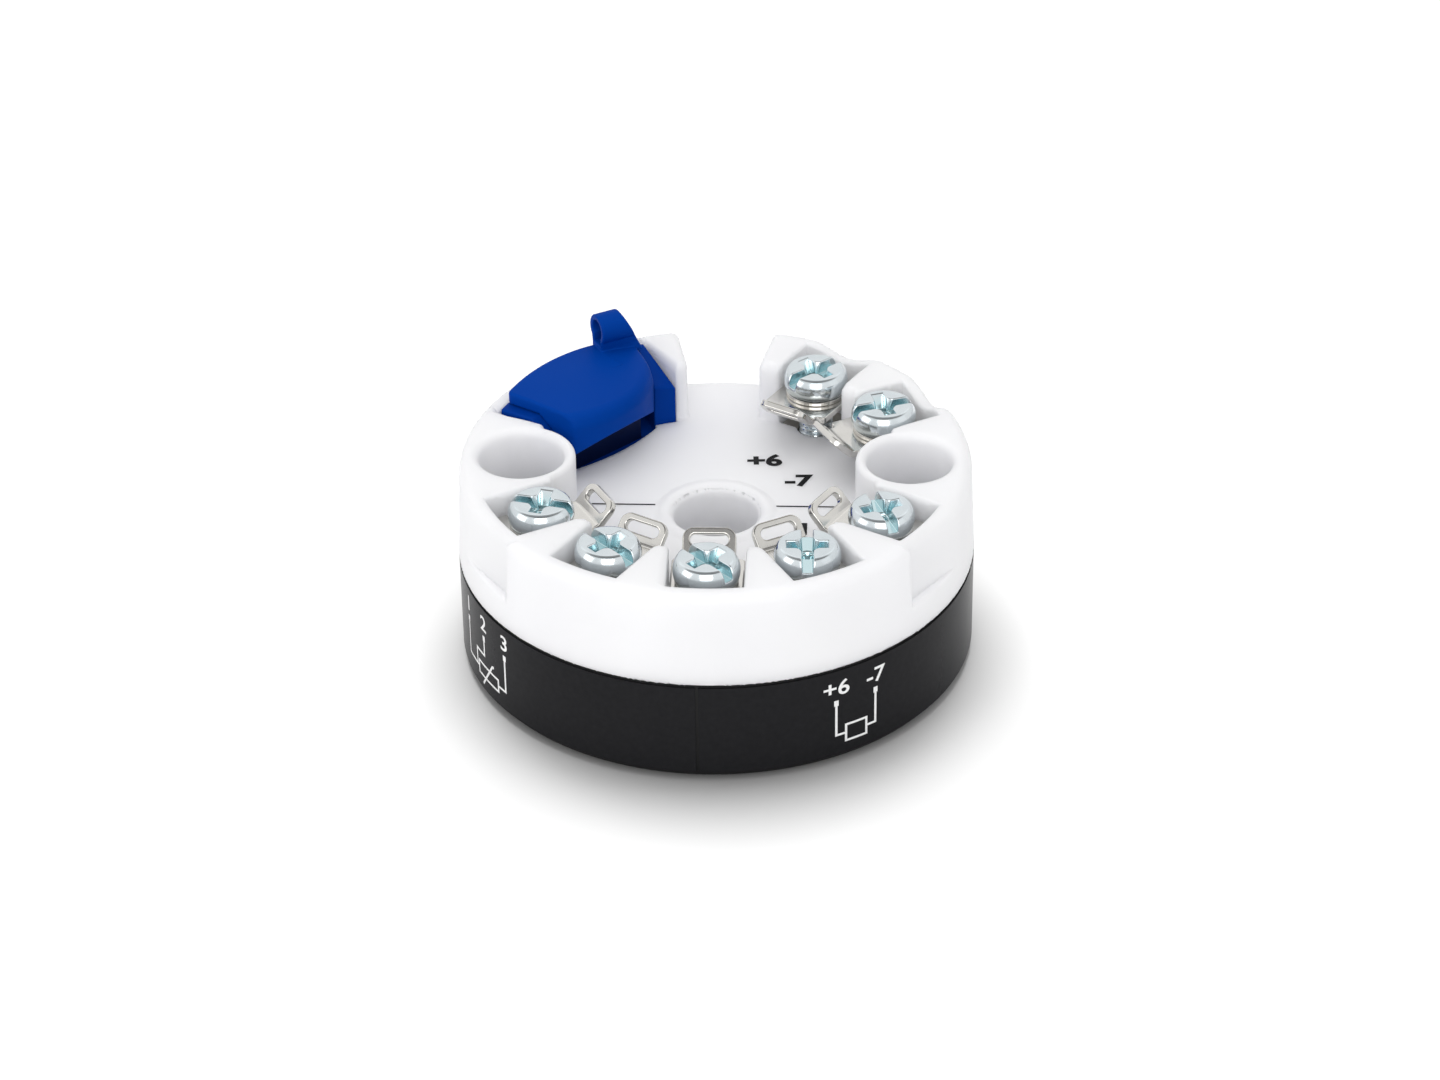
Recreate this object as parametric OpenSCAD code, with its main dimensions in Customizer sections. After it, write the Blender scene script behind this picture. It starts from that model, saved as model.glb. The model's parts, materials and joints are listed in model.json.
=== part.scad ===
// Head-mounted temperature transmitter: a round module that drops into a sensor's connection head.
// A white housing with seven screw terminals sits on a black base cup that holds the electronics.
// All lengths are in millimetres. +Z is up, the base rests on Z = 0, terminal 3 faces -Y.

/* [Housing] */
// Outside diameter where the housing meets the base
body_d = 44.2; // [43.6:0.1:46]
// How much smaller in radius the housing is at its rim
draft = 0.35; // [0.1:0.05:0.5]
// Height of the terminal floor above the base
floor_rise = 2.8; // [2.6:0.1:3.6]
// Height of the rim above the terminal floor
rim_rise = 5.7; // [5.5:0.1:6]
// Thickness of the slab under the terminal floor
slab_t = 3.4; // [3.2:0.1:3.8]
// Width of the outer wall behind the terminals
rim_w = 1.45; // [1.3:0.05:1.6]
// Rounding of the rim's outer edge
rim_round = 0.9; // [0.5:0.1:1.2]
// Distance from the central recess to the outside, at the back
recess_edge = 6.5; // [6.1:0.1:6.7]
// Distance from the central recess to the outside at the front, where the partitions reach in
front_recess_edge = 7.9; // [7.1:0.1:8.3]
// Rounding of the partitions' inner top edge
nose_round = 1.2; // [0.6:0.1:1.6]
// Depth of the scoops in the rim behind the output terminals
scoop_depth = 1.15; // [0.4:0.05:1.3]
// Depth of the two side flats at their deep end
flat_depth = 0.45; // [0.2:0.05:0.6]

/* [Base cup] */
// Height of the base cup
base_h = 9.6; // [9.2:0.1:11]
// Thickness of the cup's side wall
cup_wall = 1.55; // [1.2:0.05:1.6]
// Thickness of the cup's floor
cup_floor = 1.6; // [1.2:0.1:2]
// Rounding of the cup's bottom edge
foot_round = 1.2; // [0.6:0.1:1.4]
// Thickness of the label film
label_t = 0.15; // [0.1:0.05:0.2]
// Bare height under the label
label_foot = 0.95; // [0.8:0.05:1.4]
// Bare height over the label
label_head = 0.3; // [0.2:0.05:0.6]
// Gap where the label's two ends meet
label_gap = 0.25; // [0.1:0.05:0.5]
// Distance of that gap from the front's middle
label_gap_side = 0.8; // [0.6:0.1:1.2]

/* [Openings] */
// Diameter of the centre hole for the sensor wires
well_d = 7.2; // [6.6:0.1:7.6]
// Wall of the tubes round the centre hole and the mounting holes
tube_wall = 1.2; // [1:0.1:1.4]
// Length of the housing's own tube round the centre hole, under its slab
well_tube_len = 3; // [2:0.1:3.4]
// Width of the raised lip round the centre hole
lip_w = 1.3; // [1.1:0.1:1.6]
// Height of the raised lip
lip_h = 0.3; // [0.2:0.05:0.5]
// Distance from a mounting hole's centre to the outside of the body
mount_edge = 5.6; // [5.5:0.05:5.7]
// Diameter of the mounting holes, which take a screw head and its spring
mount_d = 7.3; // [7:0.1:7.4]
// Diameter of the clearance hole for an M4 screw
mount_screw_d = 4.5; // [4.3:0.1:5]
// Thickness of the seat that the mounting screw's spring presses on
mount_seat_t = 2.2; // [1.8:0.1:3]
// Wall left round a mounting hole inside the recess
boss_wall = 0.95; // [0.8:0.05:1]
// Rounding of the mounting holes' top edge
hole_round = 0.55; // [0.3:0.05:0.6]
// Width of the back slot at the recess
slot_w = 5.8; // [5:0.1:6.2]
// Width of the back slot at the outside
slot_mouth_w = 9.4; // [8:0.1:10]

/* [Terminals] */
// Distance from a terminal screw's centre to the outside of the body
terminal_edge = 5.7; // [5.6:0.05:5.8]
// Width of a terminal bay
bay_w = 6.4; // [6.2:0.05:6.6]
// Distance from the edge of the terminal floor in a bay to the outside of the body
bay_floor_edge = 6.7; // [6.5:0.05:6.9]
// Diameter of the terminal screws
screw_d = 3; // [2.8:0.1:3]
// Thread pitch of the terminal screws
screw_pitch = 0.5; // [0.4:0.05:0.5]
// Depth of the thread
thread_depth = 0.3; // [0.2:0.05:0.3]
// Length of the terminal screws under the head
screw_len = 8; // [7.4:0.2:8.4]
// Diameter of a screw head
head_d = 5.6; // [5.2:0.1:5.8]
// Height of a screw head
head_h = 2; // [1.8:0.1:2.2]
// Diameter of the captive washer under a head
washer_d = 5.3; // [4.8:0.1:5.6]
// Thickness of the captive washer
washer_t = 0.4; // [0.35:0.05:0.5]
// Thickness of the clamp plates
plate_t = 0.6; // [0.5:0.05:0.7]
// Open height between a clamp plate and the terminal floor
clamp_gap = 3; // [2.9:0.05:3.1]
// Space between a clamp plate and the outer wall
plate_back = 0.7; // [0.6:0.05:0.8]
// Space beside the lower part of a contact
contact_side = 0.4; // [0.3:0.05:0.5]
// Space between a screw and the solder leg of its contact
leg_space = 0.6; // [0.5:0.05:0.7]
// Thickness of the solder leg
leg_t = 0.6; // [0.5:0.05:0.7]
// Width of the solder leg
leg_w = 1.2; // [1:0.1:1.4]
// Width of the test tab
tab_w = 4.5; // [4:0.1:5]
// Length of the test tab beyond its bend
tab_len = 2.5; // [2.2:0.1:2.8]
// Angle at which the test tab is bent up
tab_angle = 46; // [40:1:50]
// Width of the eye in the test tab
eye_w = 3.2; // [2.8:0.1:3.4]
// Height of the eye in the test tab
eye_h = 0.95; // [0.8:0.05:1.1]

/* [Service port] */
// Length of the port's floor, from its front edge to the outer wall
port_len = 7.2; // [7:0.1:7.4]
// Radius of the port floor's slightly curved front edge
port_front_bow = 20; // [16:1:30]
// Half width of the port at the outer wall, on the side of the back slot
port_side_w = 8.58; // [8.4:0.02:8.6]
// Half width of the space between the flanges at the outer wall, on the same side
port_inside_w = 8.19; // [8.1:0.01:8.2]
// How far the rim is cut down behind the port
port_rim_drop = 0.5; // [0.4:0.1:0.6]
// Thickness of the blue liner's left flange
liner_t = 1.5; // [1.3:0.1:1.6]
// Height of the liner's right flange above the terminal floor at its front
flange_rise = 4.25; // [4:0.05:4.5]
// Rise of the right flange towards the outside, per unit of length
flange_slope = 0.42; // [0.36:0.02:0.5]
// Height of the left flange above the terminal floor at its front
left_flange_rise = 5.5; // [5.3:0.05:5.55]
// Rise of the left flange's front end, per unit of length
left_flange_slope = 0.9; // [0.7:0.05:1]
// Thickness of the liner's floor and outer wall
liner_floor_t = 0.8; // [0.6:0.1:1]
// How far the flanges stand in front of the recess wall
flange_set = 0.25; // [0.2:0.05:0.3]
// Half width of the cover's lid at the outer wall, on the left
lid_left_w = 7.6; // [7.5:0.05:7.7]
// Half width of the cover's lid at the outer wall, on the right
lid_right_w = 7.5; // [7.3:0.05:7.6]
// Thickness of the cover's lid
lid_t = 1.2; // [1.1:0.05:1.3]
// Radius of the lid's curved nose, seen from above
nose_r = 9.3; // [9.2:0.05:9.4]
// Distance from the centre of that curve to the outside of the body
nose_back = 1.95; // [1.9:0.05:2]
// Distance of that centre from the port's middle line
nose_side = 1.4; // [1.3:0.05:1.5]
// Wall of the hollow cover
nose_wall = 1.3; // [1.2:0.05:1.4]
// Radius of the arch that forms the foot of the nose
arch_r = 10; // [9:0.5:12]
// Distance of the arch's top from the port's middle line
arch_side = 0.8; // [0.6:0.1:1]
// How far the lid stays inside the outer wall
lid_inset = 0.15; // [0.1:0.05:0.2]
// Rounding of the lid's nose
nose_edge_round = 0.8; // [0.5:0.1:0.9]
// Length of the pull loop at its foot
loop_len = 3.6; // [3:0.1:4]
// Outside diameter of the pull loop
loop_d = 2.8; // [2.6:0.1:3]
// Wall of the pull loop
loop_wall = 0.5; // [0.4:0.05:0.7]
// Height of the pull loop above the lid
loop_h = 3; // [2.8:0.1:3.4]
// Length of the service socket, along the port
socket_len = 4.4; // [4.2:0.1:4.5]
// Width of the service socket
socket_w = 8.4; // [8:0.1:8.6]
// Wall of the service socket
socket_wall = 0.9; // [0.8:0.05:1]
// Distance from the port floor's front edge to the socket
socket_front = 1.3; // [1.2:0.05:1.4]
// Depth of the socket's well
socket_well = 5; // [4.6:0.1:5.2]
// Number of contacts in the service socket
contact_count = 4; // [3:1:5]
// Width of a socket contact
pin_w = 0.5; // [0.4:0.05:0.6]
// Distance between socket contacts
pin_pitch = 1.27; // [1.2:0.01:1.3]

/* [Electronics] */
// Thickness of the circuit board
board_t = 1.6; // [1.4:0.1:1.6]
// Depth of the potting under the circuit board
potting_t = 1.8; // [1.4:0.1:1.8]
// Space between the board's edge and the cup
board_edge = 0.4; // [0.3:0.05:0.5]
// Length of the microcontroller's package
controller_l = 7; // [6.6:0.1:7.4]
// Width of the microcontroller's package
controller_w = 6.2; // [5.8:0.1:6.4]
// Length of the signal converter's package
converter_l = 5; // [4.6:0.1:5.4]
// Width of the signal converter's package
converter_w = 4.2; // [4:0.1:4.6]
// Height of the chip packages
chip_h = 1.2; // [1:0.1:1.3]
// Distance between a chip's leads
lead_pitch = 0.65; // [0.6:0.01:0.7]
// Length of a chip's leads beyond its package
lead_l = 0.9; // [0.8:0.05:1]
// Length of the transformer's core
core_l = 7; // [6.6:0.1:7.4]
// Width of the transformer's core
core_w = 5; // [4.6:0.1:5.4]
// Length of a chip capacitor
capacitor_l = 2; // [1.8:0.05:2.1]
// Width of a chip capacitor
capacitor_w = 1.25; // [1.1:0.05:1.3]
// Length of a chip resistor
resistor_l = 1.7; // [1.5:0.05:1.8]
// Width of a chip resistor
resistor_w = 0.9; // [0.8:0.05:1]
// Height of a chip resistor
resistor_h = 0.5; // [0.4:0.05:0.6]

/* [Hidden] */
$fn = 96;

// Turn between neighbouring terminals
terminal_step = 30;
// Direction of the service port from the centre
port_angle = 135;
// Overrun of the cuts past the faces they open
over = 1;

// Clearance of parts that slide or lie next to each other
gap = 0.1;
// Radial play of a screw in a hole that guides it
screw_play = 0.08;
// Play of the cover in its liner and of its plug in the socket
cover_gap = 0.3;

body_r = body_d / 2;
rim_r = body_r - draft;
floor_z = base_h + floor_rise;
rim_z = floor_z + rim_rise;
slab_z = floor_z - slab_t;
well_tube_z = slab_z - well_tube_len;
bay_r = rim_r - rim_w;
cup_r = body_r - label_t;
cup_inner_r = cup_r - cup_wall;
recess_r = body_r - recess_edge;
front_recess_r = body_r - front_recess_edge;
mount_x = body_r - mount_edge;
mount_r = mount_d / 2;
well_r = well_d / 2;
boss_r = mount_r + boss_wall;
tube_r = well_r + tube_wall;
mount_tube_r = mount_r + tube_wall;
screw_r = screw_d / 2;
terminal_r = body_r - terminal_edge;
bay_edge = body_r - bay_floor_edge;

// A terminal's stack, from the top of the contact to the underside of the head
plate_z = floor_z + clamp_gap;
washer_z = plate_z + plate_t;
head_z = washer_z + washer_t + gap / 2;
plate_half_w = bay_w / 2 - gap * 1.5;
plate_in = terminal_r - head_d * 0.64;
plate_out = bay_r - plate_back;
bend_x = plate_in - plate_t * 1.1;
eye_margin = (tab_w - eye_w) / 2;

// The contact under a clamp plate is L-shaped, with its lower part under the floor's edge
contact_h = slab_t - gap * 2;
contact_low_h = slab_t * 0.6;
contact_in = terminal_r - screw_d * 0.86;
contact_out = bay_r - plate_back + gap;
contact_w = bay_w - 2 * contact_side;
leg_x = terminal_r + screw_r + leg_space;

board_z = cup_floor + potting_t;
board_top = board_z + board_t;
board_r = cup_inner_r - board_edge;

// The service port, in a frame turned to its own direction, with its left towards terminal 1
port_floor_z = slab_z + slab_t * 0.58;
port_front_x = bay_r - port_len;
port_low_rim_z = rim_z - port_rim_drop;
flange_front_r = recess_r - flange_set;
flange_top_z = rim_z - gap;
socket_x = port_front_x + socket_front + socket_len / 2;
socket_top = floor_z + rim_rise * 0.43;

// The cover's lid is turned about the centre of its curved nose
nose_centre = [body_r - nose_back, nose_side];
lid_top_z = rim_z + lid_t * 1.05;
lid_nose_z = rim_z + lid_t * 0.5;
lid_out_r = bay_r - lid_inset;
nose_foot_z = floor_z + rim_rise * 0.68;

// Points on an arc, from angle a to angle b
function arc(cx, cy, r, a, b, n = 8) =
    [for (i = [0:n]) [cx + r * cos(a + (b - a) * i / n), cy + r * sin(a + (b - a) * i / n)]];

// Direction of terminal i: five at the front, two at the back
function terminal_angle(i) = i < 6 ? -180 + terminal_step * i : 240 - terminal_step * i;

// Half widths at distance x from the centre: the pocket, the liner's inside and the lid
function pocket_left(x) = tan(terminal_step / 2) * x + bay_w / 2 / cos(terminal_step / 2);
function pocket_right(x) = port_side_w - (bay_r - x) * 0.14;
function inside_left(x) = pocket_left(x) - liner_t;
function inside_right(x) = port_inside_w - (bay_r - x) * 0.41;
function lid_left(x) = lid_left_w - (bay_r - x) * 0.24;
function lid_right(x) = lid_right_w - (bay_r - x) * 0.37;

// A rectangle with rounded corners, centred on the origin
module rounded_rect(l, w, r) {
    square([l - 2 * r, w], center = true);
    square([l, w - 2 * r], center = true);
    for (x = [-1, 1], y = [-1, 1]) translate([x * (l / 2 - r), y * (w / 2 - r)]) circle(r, $fn = 32);
}

module box_between(a, b) {
    translate(a) cube(b - a);
}

module at_terminal(i) {
    rotate([0, 0, terminal_angle(i)]) children();
}

module at_port() {
    rotate([0, 0, port_angle]) children();
}

module at_mounts() {
    for (side = [-1, 1]) translate([side * mount_x, 0, 0]) children();
}

// Upper housing, cut from one turned blank
module housing_blank() {
    spigot_r = cup_inner_r - gap;
    rotate_extrude() polygon(concat(
        [[0, slab_z], [spigot_r, slab_z], [spigot_r, base_h], [body_r, base_h]],
        arc(rim_r - rim_round, rim_z - rim_round, rim_round, 0, 90),
        [[0, rim_z]]
    ));
}

module recess_bowl(r) {
    rotate_extrude() polygon(concat(
        [[0, floor_z]],
        [[r, floor_z]],
        arc(r + nose_round, rim_z - nose_round, nose_round, 180, 90),
        [[r + nose_round, rim_z + over], [0, rim_z + over]]
    ));
}

module boss_keep() {
    boss_round = boss_wall * 0.4;
    rotate_extrude() polygon(concat(
        [[0, floor_z - over], [boss_r, floor_z - over]],
        arc(boss_r - boss_round, rim_z - boss_round, boss_round, 0, 90),
        [[0, rim_z]]
    ));
}

module central_recess() {
    difference() {
        union() {
            recess_bowl(front_recess_r);
            intersection() {
                recess_bowl(recess_r);
                box_between([-body_r, 0, 0], [body_r, body_r, rim_z + 2 * over]);
            }
        }
        at_mounts() boss_keep();
    }
}

module mounting_hole() {
    translate([0, 0, slab_z - over]) cylinder(h = rim_z, r = mount_r);
    rotate_extrude() polygon(concat(
        [[0, rim_z - hole_round], [mount_r, rim_z - hole_round]],
        arc(mount_r + hole_round, rim_z - hole_round, hole_round, 180, 90),
        [[mount_r + hole_round, rim_z + over], [0, rim_z + over]]
    ));
}

module bay_cut() {
    half = bay_w / 2;
    intersection() {
        cylinder(h = rim_z + over, r = bay_r);
        union() {
            box_between([front_recess_r - nose_round, -half, floor_z], [body_r, half, rim_z + over]);
            box_between([bay_edge, -half, floor_z - slab_t + contact_low_h], [body_r, half, rim_z]);
        }
    }
    low_half = contact_w / 2 + gap;
    box_between([contact_in - gap, -low_half, slab_z - over],
                [contact_out + gap, low_half, slab_z + contact_low_h + gap]);
    translate([terminal_r, 0, slab_z]) cylinder(h = slab_t + over, r = screw_r + gap * 2);
}

module back_slot() {
    near = recess_r - nose_round;
    far = body_r + over;
    near_half = slot_w / 2;
    far_half = slot_mouth_w / 2;
    translate([0, 0, floor_z]) linear_extrude(rim_rise + over)
        polygon([[-near_half, near], [near_half, near], [far_half, far], [-far_half, far]]);
}

// A wedge of the port's plan: left side y = l(x), right side y = -r(x)
module wedge(near, far, left_near, left_far, right_near, right_far) {
    polygon([[near, -right_near], [far, -right_far], [far, left_far], [near, left_near]]);
}

module pocket_plan(inset) {
    near = front_recess_r / 2;
    far = body_r;
    wedge(near, far, pocket_left(near) - inset, pocket_left(far) - inset,
          pocket_right(near) - inset, pocket_right(far) - inset);
}

module liner_inside_plan(inset) {
    near = front_recess_r / 2;
    far = body_r;
    wedge(near, far, inside_left(near) - inset, inside_left(far) - inset,
          inside_right(near) - inset, inside_right(far) - inset);
}

// Between the flanges the port's floor is sunk a little further in than under them
module sunk_plan(inset) {
    difference() {
        pocket_plan(inset);
        circle(flange_front_r);
    }
    intersection() {
        liner_inside_plan(inset);
        translate([port_front_x + port_front_bow, 0]) circle(port_front_bow - inset, $fn = 240);
    }
}

module lid_plan(inset) {
    near = front_recess_r / 2;
    far = body_r;
    intersection() {
        wedge(near, far, lid_left(near) - inset, lid_left(far) - inset,
              lid_right(near) - inset, lid_right(far) - inset);
        circle(lid_out_r - inset);
    }
}

// The same place on the plan as the left mounting boss, in the port's frame
module at_left_boss() {
    rotate([0, 0, -port_angle]) translate([-mount_x, 0, 0]) children();
}

module port_pocket() {
    at_port() {
        difference() {
            translate([0, 0, port_floor_z]) linear_extrude(rim_z) intersection() {
                sunk_plan(0);
                circle(bay_r);
            }
            at_left_boss() boss_keep();
        }
        translate([0, 0, port_low_rim_z]) linear_extrude(rim_z) difference() {
            pocket_plan(0);
            circle(bay_r - over);
        }
        translate([socket_x, 0, slab_z - over])
            linear_extrude(slab_t + 2 * over)
                square([socket_len + 2 * gap, socket_w + 2 * gap], center = true);
    }
}

// Flats that start on the rim at one angle and end in a small step at the other
module side_flats() {
    soft_angle = -24;
    step_angle = -39.5;
    deep_r = rim_r - flat_depth;
    far_r = body_r + over;
    for (side = [0, 1]) mirror([side, 0, 0]) translate([0, 0, floor_z]) linear_extrude(rim_rise + over)
        polygon([
            rim_r * [cos(soft_angle), sin(soft_angle)], deep_r * [cos(step_angle), sin(step_angle)],
            far_r * [cos(step_angle), sin(step_angle)], far_r * [cos(soft_angle), sin(soft_angle)]
        ]);
}

module rim_scoop() {
    half = bay_w / 2 + gap;
    scoop_r = (pow(half, 2) + pow(scoop_depth, 2)) / (2 * scoop_depth);
    translate([bay_r - over, 0, rim_z + scoop_r - scoop_depth]) rotate([0, 90, 0])
        cylinder(h = rim_w + 3 * over, r = scoop_r);
}

module well_lip() {
    translate([0, 0, floor_z]) rotate_extrude() polygon(concat(
        [[well_r, -lip_h], [well_r + lip_w, -lip_h], [well_r + lip_w, 0]],
        arc(well_r + lip_h + lip_w * 0.3, 0, lip_h, 90, 180, 6),
        [[well_r, 0]]
    ));
}

module upper_housing() {
    color("white") difference() {
        union() {
            difference() {
                housing_blank();
                central_recess();
            }
            well_lip();
            translate([0, 0, well_tube_z]) cylinder(h = slab_z + slab_t / 2 - well_tube_z, r = tube_r);
        }
        for (i = [1:7]) at_terminal(i) bay_cut();
        for (i = [6:7]) at_terminal(i) rim_scoop();
        back_slot();
        port_pocket();
        side_flats();
        translate([0, 0, well_tube_z - over]) cylinder(h = rim_z, r = well_r);
        at_mounts() mounting_hole();
    }
}

// Base cup with its three tubes, in one turned shell
module base_cup() {
    color([0.08, 0.08, 0.09]) difference() {
        union() {
            difference() {
                rotate_extrude() polygon(concat(
                    [[0, 0]],
                    arc(cup_r - foot_round, foot_round, foot_round, -90, 0),
                    [[cup_r, base_h], [0, base_h]]
                ));
                translate([0, 0, cup_floor]) cylinder(h = base_h, r = cup_inner_r);
            }
            cylinder(h = well_tube_z, r = tube_r);
            intersection() {
                at_mounts() cylinder(h = slab_z, r = mount_tube_r);
                cylinder(h = slab_z, r = cup_inner_r + cup_wall / 2);
            }
        }
        translate([0, 0, -over]) cylinder(h = base_h + over, r = well_r);
        at_mounts() translate([0, 0, mount_seat_t]) cylinder(h = base_h, r = mount_r);
        at_mounts() translate([0, 0, -over]) cylinder(h = base_h, r = mount_screw_d / 2);
    }
}

module label_band() {
    color([0.12, 0.12, 0.13]) translate([0, 0, label_foot]) difference() {
        h = base_h - label_head - label_foot;
        cylinder(h = h, r = body_r);
        translate([0, 0, -over]) cylinder(h = h + 2 * over, r = cup_r);
        translate([-label_gap_side, -body_r - over, -over]) cube([label_gap, 2 * over, h + 2 * over]);
    }
}

// Everything that lies in the cup is cut round its tubes with the same clearance
module round_tubes(h, clear) {
    cylinder(h = h, r = tube_r + clear);
    at_mounts() cylinder(h = h, r = mount_tube_r + clear);
}

module potting() {
    color([0.25, 0.25, 0.27]) difference() {
        translate([0, 0, cup_floor]) cylinder(h = potting_t, r = cup_inner_r - gap / 2);
        round_tubes(board_z + over, gap / 2);
    }
}

module pin_places() {
    span = (contact_count - 1) * pin_pitch;
    at_port() for (k = [0:contact_count - 1]) translate([socket_x, k * pin_pitch - span / 2, 0]) children();
}

module circuit_board() {
    hole = gap * 2;
    color([0.1, 0.35, 0.18]) difference() {
        translate([0, 0, board_z]) cylinder(h = board_t, r = board_r);
        round_tubes(board_top + over, gap * 3);
        for (i = [1:7]) at_terminal(i) translate([leg_x, -leg_w / 2 - hole / 2, board_z - over])
            cube([leg_t + hole, leg_w + hole, board_t + 2 * over]);
        pin_places() translate([0, 0, board_z])
            cube([pin_w + hole, pin_w + hole, 3 * board_t], center = true);
    }
}

// A flat chip package with rows of leads along two sides
module chip(l, w, h, leads) {
    lead_w = lead_pitch * 0.45;
    lead_t = h * 0.14;
    color([0.1, 0.1, 0.1]) translate([-l / 2, -w / 2, lead_t]) cube([l, w, h - lead_t]);
    color("silver") for (k = [0:leads - 1])
        translate([(k - (leads - 1) / 2) * lead_pitch - lead_w / 2, -w / 2 - lead_l, 0])
            cube([lead_w, w + 2 * lead_l, lead_t]);
}

module microcontroller() {
    translate([0, -(tube_r + board_r) * 0.38, board_top]) chip(controller_l, controller_w, chip_h, 10);
}

module signal_converter() {
    translate([-(tube_r + board_r) * 0.32, -(tube_r + board_r) * 0.23, board_top])
        rotate([0, 0, 60]) chip(converter_l, converter_w, chip_h, 7);
}

module isolation_transformer() {
    core_h = (slab_z - board_top) * 0.75;
    wind_w = core_w * 0.5;
    translate([(tube_r + board_r) * 0.28, (tube_r + board_r) * 0.28, board_top]) rotate([0, 0, -45]) {
        color([0.2, 0.2, 0.22]) difference() {
            translate([-core_l / 2, -core_w / 2, 0]) cube([core_l, core_w, core_h]);
            translate([-core_l / 2, 0, core_h * 0.5]) rotate([0, 90, 0])
                difference() {
                    cylinder(h = core_l, r = core_w);
                    translate([0, 0, -over]) cylinder(h = core_l + 2 * over, r = core_w * 0.56);
                }
        }
        color([0.75, 0.4, 0.2]) translate([-core_l * 0.3, -wind_w / 2, core_h])
            cube([core_l * 0.6, wind_w, core_h * 0.12]);
    }
}

// Small chip parts stand in arcs on the board, clear of the tubes
module chip_row(r, from, to, count, l, w, h) {
    for (k = [0:count - 1]) rotate([0, 0, from + (to - from) * k / (count - 1)])
        translate([r - w / 2, -l / 2, board_top]) cube([w, l, h]);
}

module board_capacitors() {
    color([0.75, 0.62, 0.45]) {
        chip_row((tube_r + board_r) * 0.41, -62, -28, 4, capacitor_w, capacitor_l, chip_h);
        chip_row((tube_r + board_r) * 0.41, 78, 108, 4, capacitor_w, capacitor_l, chip_h);
    }
}

module board_resistors() {
    color([0.15, 0.15, 0.16]) {
        chip_row((tube_r + board_r) * 0.53, -62, -28, 6, resistor_w, resistor_l, resistor_h);
        chip_row((tube_r + board_r) * 0.53, 78, 108, 6, resistor_w, resistor_l, resistor_h);
    }
}

// The space over one flange, which slopes up from its front until it is level with the rim
module over_flange(rise, slope, clear) {
    front_z = floor_z + rise;
    top_x = flange_front_r + (flange_top_z - front_z) / slope;
    rotate([90, 0, 0]) linear_extrude(body_r) polygon([
        [0, front_z - flange_front_r * slope + clear], [top_x, flange_top_z + clear],
        [body_r, flange_top_z + clear], [body_r, 2 * rim_z], [0, 2 * rim_z]
    ]);
}

// The space over both flanges, shifted up by a clearance
module over_flanges(clear) {
    over_flange(flange_rise, flange_slope, clear);
    mirror([0, 1, 0]) over_flange(left_flange_rise, left_flange_slope, clear);
}

// Blue liner of the service port: a floor, an outer wall and two flanges with sloping tops
module port_liner() {
    outer_r = bay_r - gap / 2;
    color([0, 0.25, 0.65]) at_port() difference() {
        translate([0, 0, port_floor_z]) linear_extrude(rim_z) intersection() {
            sunk_plan(gap / 2);
            circle(outer_r);
        }
        at_left_boss() cylinder(h = rim_z, r = boss_r + gap / 2);
        // Only the floor reaches further in than the flanges
        translate([0, 0, port_floor_z + liner_floor_t]) cylinder(h = rim_z, r = flange_front_r);
        translate([0, 0, port_floor_z + liner_floor_t]) linear_extrude(rim_z) intersection() {
            liner_inside_plan(0);
            circle(outer_r - liner_floor_t);
        }
        over_flanges(0);
        // The outer wall stays below the lid
        translate([0, 0, port_low_rim_z]) linear_extrude(rim_z) liner_inside_plan(0);
        translate([socket_x, 0, 0]) linear_extrude(rim_z)
            square([socket_len + 2 * gap, socket_w + 2 * gap], center = true);
    }
}

// Body of the cover: its top falls towards the nose and its front edge is round
module nose_body(inset) {
    edge_x = nose_r - nose_edge_round - inset;
    translate([nose_centre[0], nose_centre[1], 0]) rotate_extrude() polygon(concat(
        [[0, slab_z], [nose_r - inset, slab_z]],
        arc(edge_x, lid_nose_z - inset - nose_edge_round, nose_edge_round, 0, 90),
        [[0, lid_top_z - inset]]
    ));
}

// Pull loop: a strap bent into a standing arch, shorter at its top than at its foot
module pull_loop() {
    loop_r = loop_d / 2;
    hole_r = loop_r - loop_wall;
    loop_at = lid_out_r - loop_r * 0.55;
    loop_side = -15.5;
    foot = lid_t;
    foot_z = lid_top_z - foot;
    top = loop_h + foot;
    rotate([0, 0, loop_side]) translate([loop_at, 0, foot_z]) intersection() {
        rotate([90, 0, 0]) translate([0, 0, -loop_len / 2]) linear_extrude(loop_len) difference() {
            union() {
                translate([0, top - loop_r]) circle(loop_r);
                translate([-loop_r * 0.8, 0]) square([loop_r * 1.6, top - loop_r]);
            }
            translate([0, top - loop_r]) circle(hole_r);
            translate([-hole_r * 0.7, foot]) square([hole_r * 1.4, top - loop_r - foot]);
        }
        rotate([90, 0, 90]) translate([0, 0, -loop_d]) linear_extrude(2 * loop_d) polygon([
            [-loop_len * 0.42, 0], [loop_len / 2, 0], [loop_len / 2, top],
            [-loop_len * 0.1, top], [-loop_len * 0.42, foot]
        ]);
    }
}

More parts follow.
